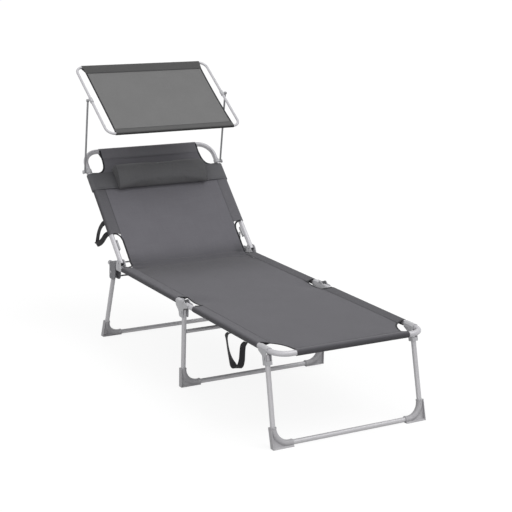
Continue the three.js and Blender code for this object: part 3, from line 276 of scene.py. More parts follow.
SILVER = coated("silver_coat", (196, 195, 199), 0.2, 0.4)
LEG_SILVER = coated("leg_coat", (192, 191, 194), 0.25, 0.42)
ROD_GREY = coated("rod_coat", (142, 142, 145), 0.3, 0.4)
STEEL = coated("plated_steel", (172, 172, 175), 0.85, 0.34, fleck=0.08)
DARK_STEEL = coated("dark_steel", (84, 84, 87), 0.5, 0.45)
BRACKET_GREY = moulded("bracket_plastic", (192, 192, 195), 0.5)
SHOE_GREY = moulded("shoe_plastic", (176, 175, 178), 0.55)
BLOCK_GREY = moulded("block_plastic", (124, 124, 127), 0.55)
BLACK_PLASTIC = moulded("black_plastic", (64, 64, 67), 0.55)
SEAT_CLOTH = cloth("seat_cloth", (98, 97, 102), 0.0016)
# Painted light: the backrest's cloth is the seat's fabric made lighter, to offset the canopy's shadow on
# it.
LIT_BACK_CLOTH = cloth("back_cloth", (119, 118, 123), 0.0016)
SHADE_CLOTH = cloth("canopy_cloth", (119, 119, 119), 0.0012, fleck=0.08)
PILLOW_CLOTH = cloth("pillow_cloth", (98, 98, 100), 0.0012, vector="object")
BAND_CLOTH = cloth("band_cloth", (100, 100, 103), 0.0012)
BINDING = cloth("binding_tape", (48, 48, 51), 0.0011, crevice_shade=0.35, fleck=0.06)
WEBBING = cloth("webbing_tape", (46, 45, 48), 0.0018, crevice_shade=0.4, rib=1.6, depth=0.0004)
THREAD = cloth("sewing_thread", (88, 88, 92), 0.0004, crevice_shade=0.3)


# Meshes
def sharpen_rims(mesh):
    """Marks open edges sharp, so that a sheet's thickness doesn't shade its face."""
    edges = np.zeros(len(mesh.loops), np.int32)
    mesh.loops.foreach_get("edge_index", edges)
    uses = np.bincount(edges, minlength=len(mesh.edges))
    for i in np.flatnonzero(uses == 1):
        mesh.edges[int(i)].use_edge_sharp = True


def points_of(mesh):
    return np.array([v.co for v in mesh.vertices])


def move_points(mesh, points):
    mesh.vertices.foreach_set("co", points.astype(np.float32).ravel())


def add_painted_shade(mesh, shade):
    """Stores painted shade: how much darker than its cloth each point is; below zero it is painted light.
    """
    mesh.attributes.new("shade", "FLOAT", "POINT").data.foreach_set("value", np.asarray(shade, np.float32))


def link(name, data):
    """A new object of the scene."""
    obj = bpy.data.objects.new(name, data)
    scene.collection.objects.link(obj)
    return obj


def make(name, points, faces, material, body=None, slot=None, uv=None, shade=None, sharp=38, place="level"):
    """An object from points that are drawn in a place."""
    mesh = bpy.data.meshes.new(name)
    faces = [tuple(int(i) for i in f) for f in faces]
    mesh.from_pydata([tuple(p) for p in placed(place, points)], [], faces)
    mesh.materials.append(material)
    mesh.shade_smooth()
    mesh.set_sharp_from_angle(angle=math.radians(sharp))
    sharpen_rims(mesh)
    if uv is not None:
        corners = np.asarray(uv, np.float32)[[i for f in faces for i in f]]
        mesh.uv_layers.new(name="UVMap").data.foreach_set("uv", corners.ravel())
    if shade is not None:
        add_painted_shade(mesh, shade)
    obj = link(name, mesh)
    if body:
        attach(obj, body)
    return obj


def solidify(obj, thickness, offset=-1.0):
    thick = obj.modifiers.new("thickness", "SOLIDIFY")
    thick.thickness = thickness
    thick.offset = offset
    thick.use_even_offset = True


def soften(obj, width, angle, harden=False):
    """Rounds the edges that turn by more than an angle."""
    edge = obj.modifiers.new("edges", "BEVEL")
    edge.width = width
    edge.segments = 2
    edge.limit_method = "ANGLE"
    edge.angle_limit = math.radians(angle)
    edge.harden_normals = harden


class Build:
    """Collects points, faces and UVs of several forms into one mesh."""

    def __init__(self):
        self.points, self.faces, self.uv, self.count = [], [], [], 0

    def add(self, points, faces, uv=None):
        points = np.asarray(points, float).reshape(-1, 3)
        self.points.append(points)
        self.faces += [[i + self.count for i in f] for f in faces]
        self.uv.append(np.zeros((len(points), 2)) if uv is None else np.asarray(uv, float))
        self.count += len(points)
        return self

    def make(self, name, material, **rest):
        points, uv = np.concatenate(self.points), np.concatenate(self.uv)
        return make(name, points, self.faces, material, uv=uv, **rest)


def grid_faces(rows, columns, wrap=False):
    faces = []
    for i in range(rows - 1):
        for k in range(columns if wrap else columns - 1):
            n = (k + 1) % columns
            faces.append([i * columns + k, i * columns + n, (i + 1) * columns + n, (i + 1) * columns + k])
    return faces


def end_faces(rows, columns):
    """The two faces that close a wrapped grid."""
    return [list(range(columns))[::-1], [(rows - 1) * columns + k for k in range(columns)]]


def distances(path):
    """How far along a path each of its points lies."""
    return np.concatenate([[0], np.cumsum(np.linalg.norm(np.diff(path, axis=0), axis=1))])


def point_at(path, s, at):
    """The point, or points, at a distance along a path whose own points lie at the distances s."""
    return np.stack([np.interp(at, s, path[:, k]) for k in range(3)], axis=-1)


def bent(corners, bend, steps=14, closed=False):
    """A path through the corners with round bends, as an array of points."""
    c = [np.array(p, float) for p in corners]
    n = len(c)
    path = [] if closed else [c[0]]
    for i in range(0 if closed else 1, n if closed else n - 1):
        into, out = unit(c[i] - c[i - 1]), unit(c[(i + 1) % n] - c[i])
        turn = math.acos(float(np.clip(into @ out, -1, 1)))
        side = unit(out - into * math.cos(turn))
        start = c[i] - into * bend * math.tan(turn / 2)
        for k in range(steps + 1):
            a = turn * k / steps
            path.append(start + into * bend * math.sin(a) + side * bend * (1 - math.cos(a)))
    if not closed:
        path.append(c[-1])
    return np.array(path)


def circle(radius, sides=28):
    a = np.arange(sides) / sides * 2 * math.pi
    return columns(radius * np.cos(a), radius * np.sin(a))


def tangents(path, closed=False):
    if closed:
        t = np.roll(path, -1, axis=0) - np.roll(path, 1, axis=0)
    else:
        t = np.gradient(path, axis=0)
    return unit(t)


def swept(path, outline, normal=UP, closed=False, caps=True):
    """Points, faces and UVs of an outline swept along a path; normal is the outline's second axis."""
    path = np.asarray(path, float)
    t = tangents(path, closed)
    up = np.broadcast_to(np.asarray(normal, float), path.shape)
    side = unit(np.cross(t, up))
    up = np.cross(side, t)
    outlines = outline if np.ndim(outline) == 3 else [outline] * len(path)
    rings = [p + o[:, :1] * s + o[:, 1:] * n for p, s, n, o in zip(path, side, up, outlines)]
    m = len(outlines[0])
    faces = grid_faces(len(path), m, wrap=True)
    if closed:
        last = (len(path) - 1) * m
        faces += [[last + k, last + (k + 1) % m, (k + 1) % m, k] for k in range(m)]
    elif caps:
        faces += end_faces(len(path), m)
    around = distances(np.asarray(outlines[0]))
    uv = columns(np.tile(around, len(path)), np.repeat(distances(path), m))
    return np.concatenate(rings), faces, uv


def tube(name, path, radius, material, body, slot, node, normal=UP, place="level", closed=False, sides=28):
    """A round tube in place of a solid's."""
    b = Build().add(*swept(path, circle(radius, sides), normal, closed))
    obj = b.make(name, material, body=body, slot=slot, place=place)
    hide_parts(node)


# Frame tubes, rounder than the solids' twelve sides
SIDE_TUBE = (0.757, 1.488)
FOOT_TUBE_END, BACK_TUBE_START = 0.735, -0.008
FRAME_BEND, BACK_BEND, SHADE_BEND = 0.060, 0.070, 0.038
SHADE_HALF, SHADE_DEPTH = 0.341, 0.223


def hoop(start, bar, z, bend, steps):
    """A tube's path along the left side, across at the bar and back along the right side."""
    return bent([(-HALF, start, z), (-HALF, bar, z), (HALF, bar, z), (HALF, start, z)], bend, steps)


for side, sign in SIDES:
    line = [(sign * HALF, y, AXIS_Z) for y in SIDE_TUBE]
    tube(f"side_tube_{side}", line, FRAME_R, SILVER, "root", "frame_tube", f"middle_side_tube_{side}")
tube("foot_tube", hoop(FOOT_TUBE_END, BAR_Y, AXIS_Z, FRAME_BEND, 14), FRAME_R, SILVER, "foot_section",
    "frame_tube", "foot_frame_tube")
tube("backrest_tube", hoop(BACK_TUBE_START, TOP_BAR, 0, BACK_BEND, 18), FRAME_R, SILVER, "backrest",
    "frame_tube", "backrest_frame_tube", place="back")
corners = [(x * SHADE_HALF, y * SHADE_DEPTH, 0) for x, y in ((1, 1), (1, -1), (-1, -1), (-1, 1))]
shade_path = bent(corners, SHADE_BEND, closed=True)
tube("canopy_tube", shade_path, SHADE_R, SILVER, "canopy", "frame_tube", "canopy_frame_tube", place="shade",
    closed=True, sides=20)

# Legs and their shoes. A leg's drop is from its hinge to the ground, where its shoes end
LEG_LOW, LEG_BEND, LEG_BAR, LEG_TOP = 0.342, 0.065, 0.012, 0.012
SHOE_UP, SHOE_IN, SHOE_OUT, SHOE_HALF, SHOE_DROP = 0.070, 0.080, 0.013, 0.0115, 0.030
SHOE_R, SHOE_LIP, SHOE_RINGS = 0.0130, 0.0011, 44
SHOE_WEB, SHOE_WALL, SHOE_SOLE, SHOE_EDGE = 0.0045, 0.0028, 0.0085, 0.0007
SHOE_LEAN, SLAB_IN, WEB_IN, LID_IN, LID_THICK = 0.0008, 0.001, 0.002, 0.006, 0.003
LEG_DROP, MIDDLE_DROP, MIDDLE_LIFT = 0.335, 0.325, 0.006


def leg(name, drop, ground):
    place, tilt = f"{name}_leg", math.radians(PLACES[f"{name}_leg"][1])
    length = (drop - LEG_BAR) / math.cos(tilt)
    top_x = HALF - (LEG_LOW - HALF) * LEG_TOP / length
    corners = [(-top_x, 0, LEG_TOP), (-LEG_LOW, 0, -length), (LEG_LOW, 0, -length), (top_x, 0, LEG_TOP)]
    tube(f"{place}_tube_round", bent(corners, LEG_BEND, 18), LEG_R, LEG_SILVER, place, "leg_tube",
        f"{place}_tube", normal=AHEAD, place=place)
    for side, sign in SIDES:
        shoe(name, side, sign, length, ground)


def shoe(name, side, sign, length, ground):
    """A moulded shoe: a sleeve round the tube's bend, a web to the corner, a flange up and a foot plate."""
    b = Build()
    low, top = -length - SHOE_DROP, -length + SHOE_UP
    corners = [(LEG_LOW - SHOE_LEAN, 0, top), (LEG_LOW, 0, -length), (LEG_LOW - SHOE_IN, 0, -length)]
    bend = bent(corners, LEG_BEND, 16) * (sign, 1, 1)
    s = distances(bend)
    line = point_at(bend, s, np.linspace(0, s[-1], SHOE_RINGS))
    from_end = np.minimum(np.arange(SHOE_RINGS), np.arange(SHOE_RINGS)[::-1])
    radius = SHOE_R + SHOE_LIP * (from_end < 3) - SHOE_EDGE * (from_end == 0)
    b.add(*swept(line, np.stack([circle(r, 26) for r in radius]), AHEAD))
    centre = np.array([sign * (LEG_LOW - LEG_BEND), 0, -length + LEG_BEND])
    outer = LEG_LOW + SHOE_OUT - WEB_IN
    web = []
    for p in line[1:-1]:
        d = p - centre
        if p[2] >= centre[2]:
            q = (sign * outer, 0, p[2])
        elif d[0] * sign <= 1e-6:
            q = (p[0], 0, low)
        else:
            reach = min((outer - abs(centre[0])) / (d[0] * sign), (low - centre[2]) / min(d[2], -1e-6))
            q = centre + d * reach
        web.append([(e[0], y * SHOE_WEB, e[2]) for e, y in ((p, -1), (p, 1), (q, 1), (q, -1))])
    b.add(web, grid_faces(len(web), 4, wrap=True) + end_faces(len(web), 4))
    edge = LEG_LOW + SHOE_OUT
    for x, z in (((edge - SHOE_WALL, edge), (low, top)), ((LEG_LOW - SHOE_IN, edge - SLAB_IN),
            (low, -length - SHOE_SOLE)), ((LEG_LOW - LID_IN, edge - SLAB_IN), (top - LID_THICK, top))):
        slab = [(sign * a, y, c) for a in x for y in (-SHOE_HALF, SHOE_HALF) for c in z]
        b.add(slab, [[0, 1, 3, 2], [4, 6, 7, 5], [0, 4, 5, 1], [2, 3, 7, 6], [0, 2, 6, 4], [1, 5, 7, 3]])
    leg_name = f"{name}_leg"
    obj = b.make(f"{name}_shoe_{side}", SHOE_GREY, body=leg_name, slot="grey_plastic", place=leg_name)
    points = points_of(obj.data)
    points[:, 2] = np.maximum(points[:, 2], ground)
    move_points(obj.data, points)
    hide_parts(f"{name}_leg_shoe_{side}")
    soften(obj, SHOE_EDGE, 40)


leg("front", LEG_DROP, 0)
leg("middle", MIDDLE_DROP, MIDDLE_LIFT)
leg("rear", LEG_DROP, 0)
MIDDLE_BAR_X, MIDDLE_BAR_Z, MIDDLE_BAR_R = 0.3303, -0.085, 0.0085
line = [(x, 0, MIDDLE_BAR_Z) for x in (-MIDDLE_BAR_X, MIDDLE_BAR_X)]
tube("middle_leg_bar", line, MIDDLE_BAR_R, LEG_SILVER, "middle_leg", "leg_tube", "middle_leg_cross_bar",
    normal=AHEAD, place="middle_leg")
ROD_HALF, ROD_Y, ROD_Z = HALF - 0.0123, 1.415, 0.321
ROD_DIP, ROD_LEVEL_END, REAR_ROD_R = 0.022, 0.008, 0.0035
share = np.linspace(-1, 1, 61)
dip = (1 - np.minimum(1, np.abs(share) * ROD_HALF / (ROD_HALF - ROD_LEVEL_END)) ** 2) ** 2
rod_line = columns(share * ROD_HALF, ROD_Y, ROD_Z - ROD_DIP * dip)
tube("rear_rod", rod_line, REAR_ROD_R, DARK_STEEL, "root", "dark_steel", "rear_cross_rod", normal=AHEAD,
    sides=18)


def drum(b, centre, radius, half, edge=0.0008):
    """A short round boss along X with softened rims."""
    line = [np.add(centre, (x, 0, 0)) for x in (-half, edge - half, half - edge, half)]
    b.add(*swept(line, np.stack([circle(r) for r in (radius - edge, radius, radius, radius - edge)])))


ROD_X, ROD_R, ROD_EYE, ROD_END = 0.358, 0.0045, 0.007, 0.003
for side, sign in SIDES:
    line = [(sign * ROD_X, 0, z) for z in np.linspace(ROD_END, ARM_LENGTH - ROD_END, 12)]
    rod = Build().add(*swept(line, circle(ROD_R, 24), AHEAD))
    for z in (0, ARM_LENGTH):
        drum(rod, (sign * ROD_X, 0, z), ROD_EYE, ROD_R)
    obj = rod.make(f"canopy_rod_round_{side}", ROD_GREY, body="canopy_arms", slot="frame_tube",
        place="arms")
    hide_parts(f"canopy_rod_{side}")


# Solids that stay get a material and soft edges
for material, bevel, stems in (
    (BLOCK_GREY, 0.0008, ("side_tube_cap",)), (BLOCK_GREY, 0.0010, ("rear_leg_block",)),
    (BRACKET_GREY, 0.0008, ("middle_hinge_bracket", "recline_bracket", "front_leg_bracket", "canopy_knob")),
    (BRACKET_GREY, 0.0005, ("canopy_pivot",)), (BRACKET_GREY, 0.0004, ("canopy_clip",)),
    (STEEL, 0.0006, ("foot_hinge_rivet", "middle_leg_rivet", "recline_rivet", "rear_leg_rivet",
        "front_leg_rivet")),
    (STEEL, 0.0005, ("recline_stay",)), (ROD_GREY, 0.0003, ("recline_rack",)),
    (BLACK_PLASTIC, 0.0006, ("foot_hinge_plug", "backrest_tube_plug")),
):
    for obj in [obj for name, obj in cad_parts.items() if name.startswith(stems)]:
        mesh = obj.data
        mesh.materials.clear()
        mesh.materials.append(material)
        if mesh.has_custom_normals:
            bpy.context.view_layer.objects.active = obj
            bpy.ops.mesh.customdata_custom_splitnormals_clear()
        mesh.shade_smooth()
        obj.modifiers.new("weld", "WELD").merge_threshold = 0.00002
        soften(obj, bevel, 38, harden=True)


# Cloth: outlines of the sheets' free edges, as half widths
def smooth(t):
    t = np.clip(t, 0, 1)
    return t * t * (3 - 2 * t)


def swell(x, centre, spread):
    """A smooth bump of height one."""
    return np.exp(-((x - centre) / spread) ** 2)


CORNER_X, CORNER_Y = 0.090, 0.125
TOP_X, TOP_U = 0.082, 0.128
UNDER = 0.004           # how far a sheet runs in under a hem
SIDE_X = HALF - HEM + UNDER
CUT_MID, CUT_MID_RISE, CUT_BACK, CUT_CORNER, BACK_CUT = 0.044, 0.0156, 0.042, 0.030, 0.145


def front_half(y):
    """Half the width of the seat's sheet near the front bar."""
    c = np.clip((y - BAR_Y - FRAME_R) / CORNER_Y, 0, 1)
    return HALF - CORNER_X * np.sqrt(1 - c ** 2)


def top_half(u):
    """Half the width of the backrest's sheet near its top bar."""
    c = np.clip((TOP_BAR - u) / TOP_U, 0, 1) ** 2
    return HALF - TOP_X * (1 - c ** 2) ** 0.25


def fabric(body):
    return {"headrest": "headrest_fabric", "canopy": "canopy_fabric"}.get(body, "seat_fabric")


def woven(name, points, uv, material, nodes, body=None, wrap=False, thickness=CLOTH, **rest):
    """A sheet from rows of points, in place of solids."""
    faces = grid_faces(len(points), len(points[0]), wrap)
    obj = make(name, np.reshape(points, (-1, 3)), faces, material, uv=np.reshape(uv, (-1, 2)), body=body,
        slot=fabric(body), sharp=80, **rest)
    solidify(obj, thickness)
    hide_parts(*nodes)
    return obj


# The cover's rows run from the front bar over the seat, round the crease and up the backrest
CREASE_Y, CREASE_R, CREASE_U, CREASE_Z = 1.3426, 0.060, -0.0328, 0.380
SEAT_STEPS = ((0.030, 0.150, 25), (0.165, 0.640, 32), (0.650, 0.840, 39))
BACK_STEPS = ((0.175, 0.465, 22), (0.472, 0.575, 22))
CORNER_ROWS, TOP_ROWS = 0.150, 0.47


def seat_rows():
    """Rows of the cover: its height line (y, z), its slope and its half width."""
    slope = math.radians(BACK_ANGLE)
    reach = CREASE_R * math.tan(slope / 2)
    seat_steps = SEAT_STEPS + ((0.860, CREASE_Y - reach, 26),)
    rows = []
    for y in np.concatenate([np.linspace(*step) for step in seat_steps]):
        half = min(SIDE_X, float(front_half(y)) - 0.0005) if y < CORNER_ROWS else SIDE_X
        rows.append((y, SHEET_Z, 0.0, half))
    for k in range(1, 12):
        a = slope * k / 12
        y = CREASE_Y - reach + CREASE_R * math.sin(a)
        rows.append((y, SHEET_Z + CREASE_R * (1 - math.cos(a)), a, SIDE_X))
    c = math.cos(slope)
    back_steps = ((CREASE_U + reach + (SHEET_Z - CREASE_Z) / c, 0.160, 22),) + BACK_STEPS
    for u in np.concatenate([np.linspace(*step) for step in back_steps]):
        half = min(SIDE_X, float(top_half(u)) - 0.0005) if u > TOP_ROWS else SIDE_X
        rows.append((RECLINE[0] + (u - BACK_N) * c, RECLINE[1] + (u + BACK_N) * c, slope, half))
    return np.array(rows)


COLUMNS = 61
NEAR_MID, NEAR_FRONT, NEAR_BACK = 0.055, 0.050, 0.085
DROOP_MID, DROOP_FRONT, DROOP_BACK, DROOP_X, DROOP_WIDE = 0.0075, 0.005, 0.003, 0.17, 0.125
SEAT_SAG, SEAT_CRINKLE, PUCKER, PUCKER_X, PUCKER_WIDE = 0.0026, 0.0009, 0.0022, 0.27, 0.035
rows = seat_rows()
along = distances(rows[:, :2])
crease_row = int(np.argmin(np.abs(rows[:, 2] - math.radians(22))))
split_row = int(np.argmin(np.abs(rows[:, 0] - 1.06)))


def crinkle(x, s, seed, size):
    """A smooth, small unevenness of cloth."""
    r = np.random.default_rng(seed)
    out = np.zeros(np.broadcast(x, s).shape)
    for _ in range(9):
        kx, ks, phase = r.uniform(4, 26), r.uniform(3, 20), r.uniform(0, 6.28)
        out += np.sin(kx * x + ks * s * r.choice([-1, 1]) + phase) / (0.15 * (kx + ks))
    return size * out / 4


def cover_points(chosen):
    """The cover's grid over the chosen rows, with its droop at the cut-outs and its unevenness."""
    t = np.linspace(-1, 1, COLUMNS)
    points, uv = [], []
    for i in chosen:
        y, z, a, half = rows[i]
        x = t * half
        s = along[i]
        seat = a == 0
        near_mid = swell(y, FOOT_HINGE_Y, NEAR_MID) if seat else 0
        near_front = math.exp(-max(0, y - NEAR_FRONT) / NEAR_FRONT) if seat else 0
        near_back = swell(s, along[crease_row], NEAR_BACK)
        edge = smooth((np.abs(x) - DROOP_X) / DROOP_WIDE)
        lift = -SEAT_SAG * (1 - t ** 2) + crinkle(x, s, 5, SEAT_CRINKLE)
        lift -= edge * (DROOP_MID * near_mid + DROOP_FRONT * near_front + DROOP_BACK * near_back)
        lift += swell(np.abs(x), PUCKER_X, PUCKER_WIDE) * near_back * PUCKER * np.sin(s * 260 + x * 40)
        points.append(columns(x, y - math.sin(a) * lift, z + math.cos(a) * lift))
        uv.append(columns(x, s))
    return np.array(points), np.array(uv)


def cover(name, chosen, material, nodes):
    """A part of the cover, with painted shade in the crease and at the folds beside it, and painted light
    on its backrest rows.
    """
    points, uv = cover_points(chosen)
    x, s = uv.reshape(-1, 2).T
    past = s - along[crease_row] + 0.05
    # Painted shade darkens the rows round the crease and, more on the right, the folds beside it at the
    # sides; painted light, as shade below zero, lightens the rows up the backrest.
    shade = 0.30 * swell(past, 0, np.where(past < 0, 0.17, 0.10))
    gather_shade = smooth((past - 0.055) / 0.012) * smooth((0.150 - past) / 0.100)
    gather_shade = gather_shade * swell(np.abs(x), 0.262 + 0.2 * (past - 0.05), 0.022)
    shade = shade + gather_shade * np.where(x > 0, 0.30, 0.12) - 0.27 * smooth((past - 0.05) / 0.10)
    obj = woven(name, points, uv, material, nodes, shade=shade)
    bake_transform(obj)
    return obj


FOOT_FOLD = [tuple(p) for p in placed("level", [(0, 0.716, SHEET_Z), (0, 0.776, SHEET_Z)])]
BACK_FOLD = [tuple(p) for p in placed("level", [(0, 1.330, 0.3745), (0, 1.376, 0.405)])]
seat_front = cover("seat_cover_front", range(0, split_row + 1), SEAT_CLOTH, ["seat_fabric_foot"])
seat_rear = cover("seat_cover_rear", range(split_row, len(rows)), SEAT_CLOTH,
    ["seat_fabric_middle", "backrest_fabric"])


# Hems: sleeves round the tubes
def teardrop(radius, reach, rise):
    """A hem's section: round a tube at (0, 0) and drawn to its stitched edge at (-reach, rise)."""
    tip = np.array([-reach, rise])
    toward = math.atan2(rise, -reach)
    open_angle = math.acos(radius / np.linalg.norm(tip))
    a = np.linspace(toward + open_angle, toward - open_angle + 2 * math.pi, 30)
    arc = columns(radius * np.cos(a), radius * np.sin(a))
    t = np.linspace(0, 1, 9)[1:, None]
    down = arc[-1] + (tip - arc[-1]) * t
    back = tip + (arc[0] - tip) * t
    return np.concatenate([arc, down, back[:-1]])


HEM_PLACE = {"foot_section": "level", "root": "level", "backrest": "back", "canopy": "shade"}
STAY_RECESS = 0.014     # how much further the backrest hem's underside is cut back, for the stay
HEM_STEP, HEM_CRINKLE = 0.012, 0.0006


def hem(name, line, radius, reach, rise, material, body, ends, shade, seed, dark):
    """A sleeve round a tube, drawn to a stitched edge; ends gives each end's shift at a distance in."""
    outline = teardrop(radius, reach, rise)
    start, end = np.array(line, float)
    length = float(np.linalg.norm(end - start))
    count = max(8, int(length / HEM_STEP))
    share = np.linspace(0, 1, count)[:, None]
    points, faces, uv = swept(start + (end - start) * share, outline, caps=False)
    points = points.reshape(count, len(outline), 3)
    inward = np.clip(-outline[:, 0], 0, reach)
    slide = (1 - share) * ends[0](inward)[None, :] + share * ends[1](inward)[None, :]
    points = points + slide[:, :, None] * (end - start) / length
    if name.startswith("backrest"):
        recess = BACK_CUT + STAY_RECESS * smooth(inward / 0.020) * (outline[:, 1] < 0.004)
        points[:, :, 1] = np.maximum(points[:, :, 1], recess[None, :])
    free = np.clip(inward / reach * 4 * (1 - inward / reach), 0, 1)[None, :]
    wave = crinkle(np.arange(len(outline))[None, :] * 0.004, share * length, seed, HEM_CRINKLE)
    points[:, :, 2] += wave * (0.25 + free)
    # Painted shade: the hem is darkened all over and its sleeve's outer, lower side more, as turned from
    # the light; the row at its stitched edge is darker still.
    shaded_side = smooth((outline[:, 0] * 0.85 - outline[:, 1] * 0.55) / radius + 0.35)
    hem_shade = np.full(points.shape[:2], shade) + dark * shaded_side[None, :]
    hem_shade[:, np.argmin(outline[:, 0])] += 0.12 if body == "backrest" else 0.04
    obj = make(name, points.reshape(-1, 3), faces, material, body=body, slot=fabric(body), uv=uv,
        shade=hem_shade.ravel(), sharp=70, place=HEM_PLACE[body])
    solidify(obj, CLOTH, 1.0)
    return obj


def stitches(b, path, up=UP, length=0.0032, gap=0.0018, wide=0.0004):
    """Short threads along a path, standing a little proud of the cloth."""
    path, up = np.asarray(path, float), np.asarray(up, float)
    s = distances(path)
    for a in np.arange(0, s[-1] - length, length + gap):
        p, q = point_at(path, s, a), point_at(path, s, a + length)
        side = np.cross(unit(q - p), up) * wide
        m = (p + q) / 2 + up * wide * 1.6
        points = [p - side, p + side, m - side, m + side, q - side, q + side, p - up * wide, q - up * wide]
        b.add(points, [[0, 1, 3, 2], [2, 3, 5, 4], [0, 6, 1], [4, 5, 7], [0, 2, 4, 7, 6], [1, 6, 7, 5, 3]])


def sewn(b, body, place="level"):
    """The threads of a body's seams."""
    return b.make(f"seam_threads_{body}", THREAD, body=body, slot=fabric(body), place=place)


def none(inward):
    return np.zeros_like(inward)


def flipped(shape):
    return lambda inward: -shape(inward)


def front_corner_end(inward):
    """How much earlier the side hem ends, inwards from the tube, at the front corner."""
    return CORNER_Y * (np.sqrt(np.clip(1 - (inward / CORNER_X) ** 2, 0, 1)) - 1)


def back_end(inward):
    """How much lower the backrest's side hem reaches, inwards from the tube, with a round corner."""
    c = np.clip((inward - CUT_BACK + CUT_CORNER) / CUT_CORNER, 0, 1)
    return CUT_CORNER * (1 - np.sqrt(1 - c ** 2))


def mid_end(inward):
    """How much further the side hem reaches towards the middle hinge, inwards from the tube."""
    return CUT_MID_RISE * (1 - np.sqrt(np.clip(1 - (inward / CUT_MID) ** 2, 0, 1)))


# Side hems: body, ends along the tube, ends of the seam, height of the axis, rise of the stitched edge,
# cloth, shapes of the two ends and seed
HEM_RISE = SHEET_Z - AXIS_Z
FOOT_SPAN, MIDDLE_SPAN, BACK_SPAN = (0.147, 0.668), (0.818, 1.3444), (BACK_CUT, 0.476)
SIDE_HEMS = {
    "foot": ("foot_section", FOOT_SPAN, (0.136, 0.682), AXIS_Z, HEM_RISE, SEAT_CLOTH, front_corner_end,
        mid_end, 11),
    "middle": ("root", MIDDLE_SPAN, (0.804, 1.344), AXIS_Z, HEM_RISE, SEAT_CLOTH, flipped(mid_end), none,
        12),
    "backrest": ("backrest", BACK_SPAN, (BACK_CUT + 0.001, BACK_SPAN[1]), 0, BACK_N, LIT_BACK_CLOTH,
        flipped(back_end), none, 13),
}
THREAD_UP = 0.0012
hems, threads = [], {"foot_section": Build(), "root": Build(), "backrest": Build()}
for side, sign in SIDES:
    for part, (body, span, seam, axis, rise, material, at_low, at_high, seed) in SIDE_HEMS.items():
        # Painted shade, as lit from the right: the right hems are darker all over, the left sleeves darker
        # on their outer side, and the backrest's left hem darker than its right.
        shade, dark = (0.0, 0.40) if side == "left" else (0.23, 0.20)
        if part == "backrest":
            shade, dark = 0.27 - 0.06 * sign, 0.25
        line, ends = [(sign * HALF, y, axis) for y in span], (at_low, at_high)
        if side == "left":
            line, ends = line[::-1], (flipped(at_high), flipped(at_low))
        name, place = f"{part}_hem_{side}", HEM_PLACE[body]
        hems.append(hem(name, line, SLEEVE_R, HEM, rise, material, body, ends, shade, seed, dark))
        line = [(sign * (HALF - HEM + UNDER), y, axis + rise + THREAD_UP) for y in np.linspace(*seam, 60)]
        stitches(threads[body], levelled(place, line), direction(place, UP))

BAR_HEM, BAR_HALF, TOP_HEM = 0.026, HALF - 0.080, 0.051
TOP_SEAM, FRONT_SEAM, SEAM_IN = 0.254, 0.247, 0.003


def bar_end(inward):
    return -(BAR_HALF - (HALF - CORNER_X)) * smooth(inward / BAR_HEM)


# Painted shade: the front hem is darkened a little and its roll much more on its lower side; the top hem's
# sleeve a little on its outer side.
front_hem = hem("front_hem", [(x, BAR_Y, AXIS_Z) for x in (-BAR_HALF, BAR_HALF)], SLEEVE_R, BAR_HEM,
    HEM_RISE, SEAT_CLOTH, "foot_section", (flipped(bar_end), bar_end), 0.03, 14, 0.4)
top_hem = hem("top_hem", [(x, TOP_BAR, 0) for x in (HALF - TOP_X, TOP_X - HALF)], SLEEVE_R, TOP_HEM, BACK_N,
    LIT_BACK_CLOTH, "backrest", (none, none), 0.0, 15, 0.1)
line = [(x, TOP_BAR - TOP_HEM + UNDER, BACK_N + THREAD_UP) for x in np.linspace(-TOP_SEAM, TOP_SEAM, 40)]
stitches(threads["backrest"], levelled("back", line), direction("back", UP))
line = [(x, BAR_Y + BAR_HEM - SEAM_IN, SHEET_Z + THREAD_UP)
    for x in np.linspace(-FRONT_SEAM, FRONT_SEAM, 40)]
stitches(threads["foot_section"], line)
for body, b in threads.items():
    sewn(b, body)


# Bindings: a dark tape folded over each free edge
TAPE_HALF, SHADE_TAPE_HALF, TAPE_RISE, TAPE_IN, TAPE_LOW = 0.0042, 0.0040, 0.0014, 0.0022, 0.0005


def tape(name, path, up=UP, body=None, place="level", blend=None, half=TAPE_HALF):
    a = np.linspace(0, 2 * math.pi, 15)[:-1]
    outline = columns(half * np.sign(np.cos(a)) * np.abs(np.cos(a)) ** 0.6, TAPE_RISE * np.sin(a))
    b = Build().add(*swept(path, outline, up))
    obj = b.make(name, BINDING, body=body, slot=fabric(body), place=place, sharp=60)
    if blend:
        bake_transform(obj)
    return obj


def edge_line(sign, chosen):
    """Points of the cover's own edge over the chosen rows, a little inside it."""
    return cover_points(chosen)[0][:, -1 if sign > 0 else 0] - (sign * TAPE_IN, 0, TAPE_LOW)


def out_at(sign, *points):
    """Points of one side, each given by its distance in from the side tube's axis, its y and its z."""
    return np.array([(sign * (HALF - inward), y, z) for inward, y, z in points])


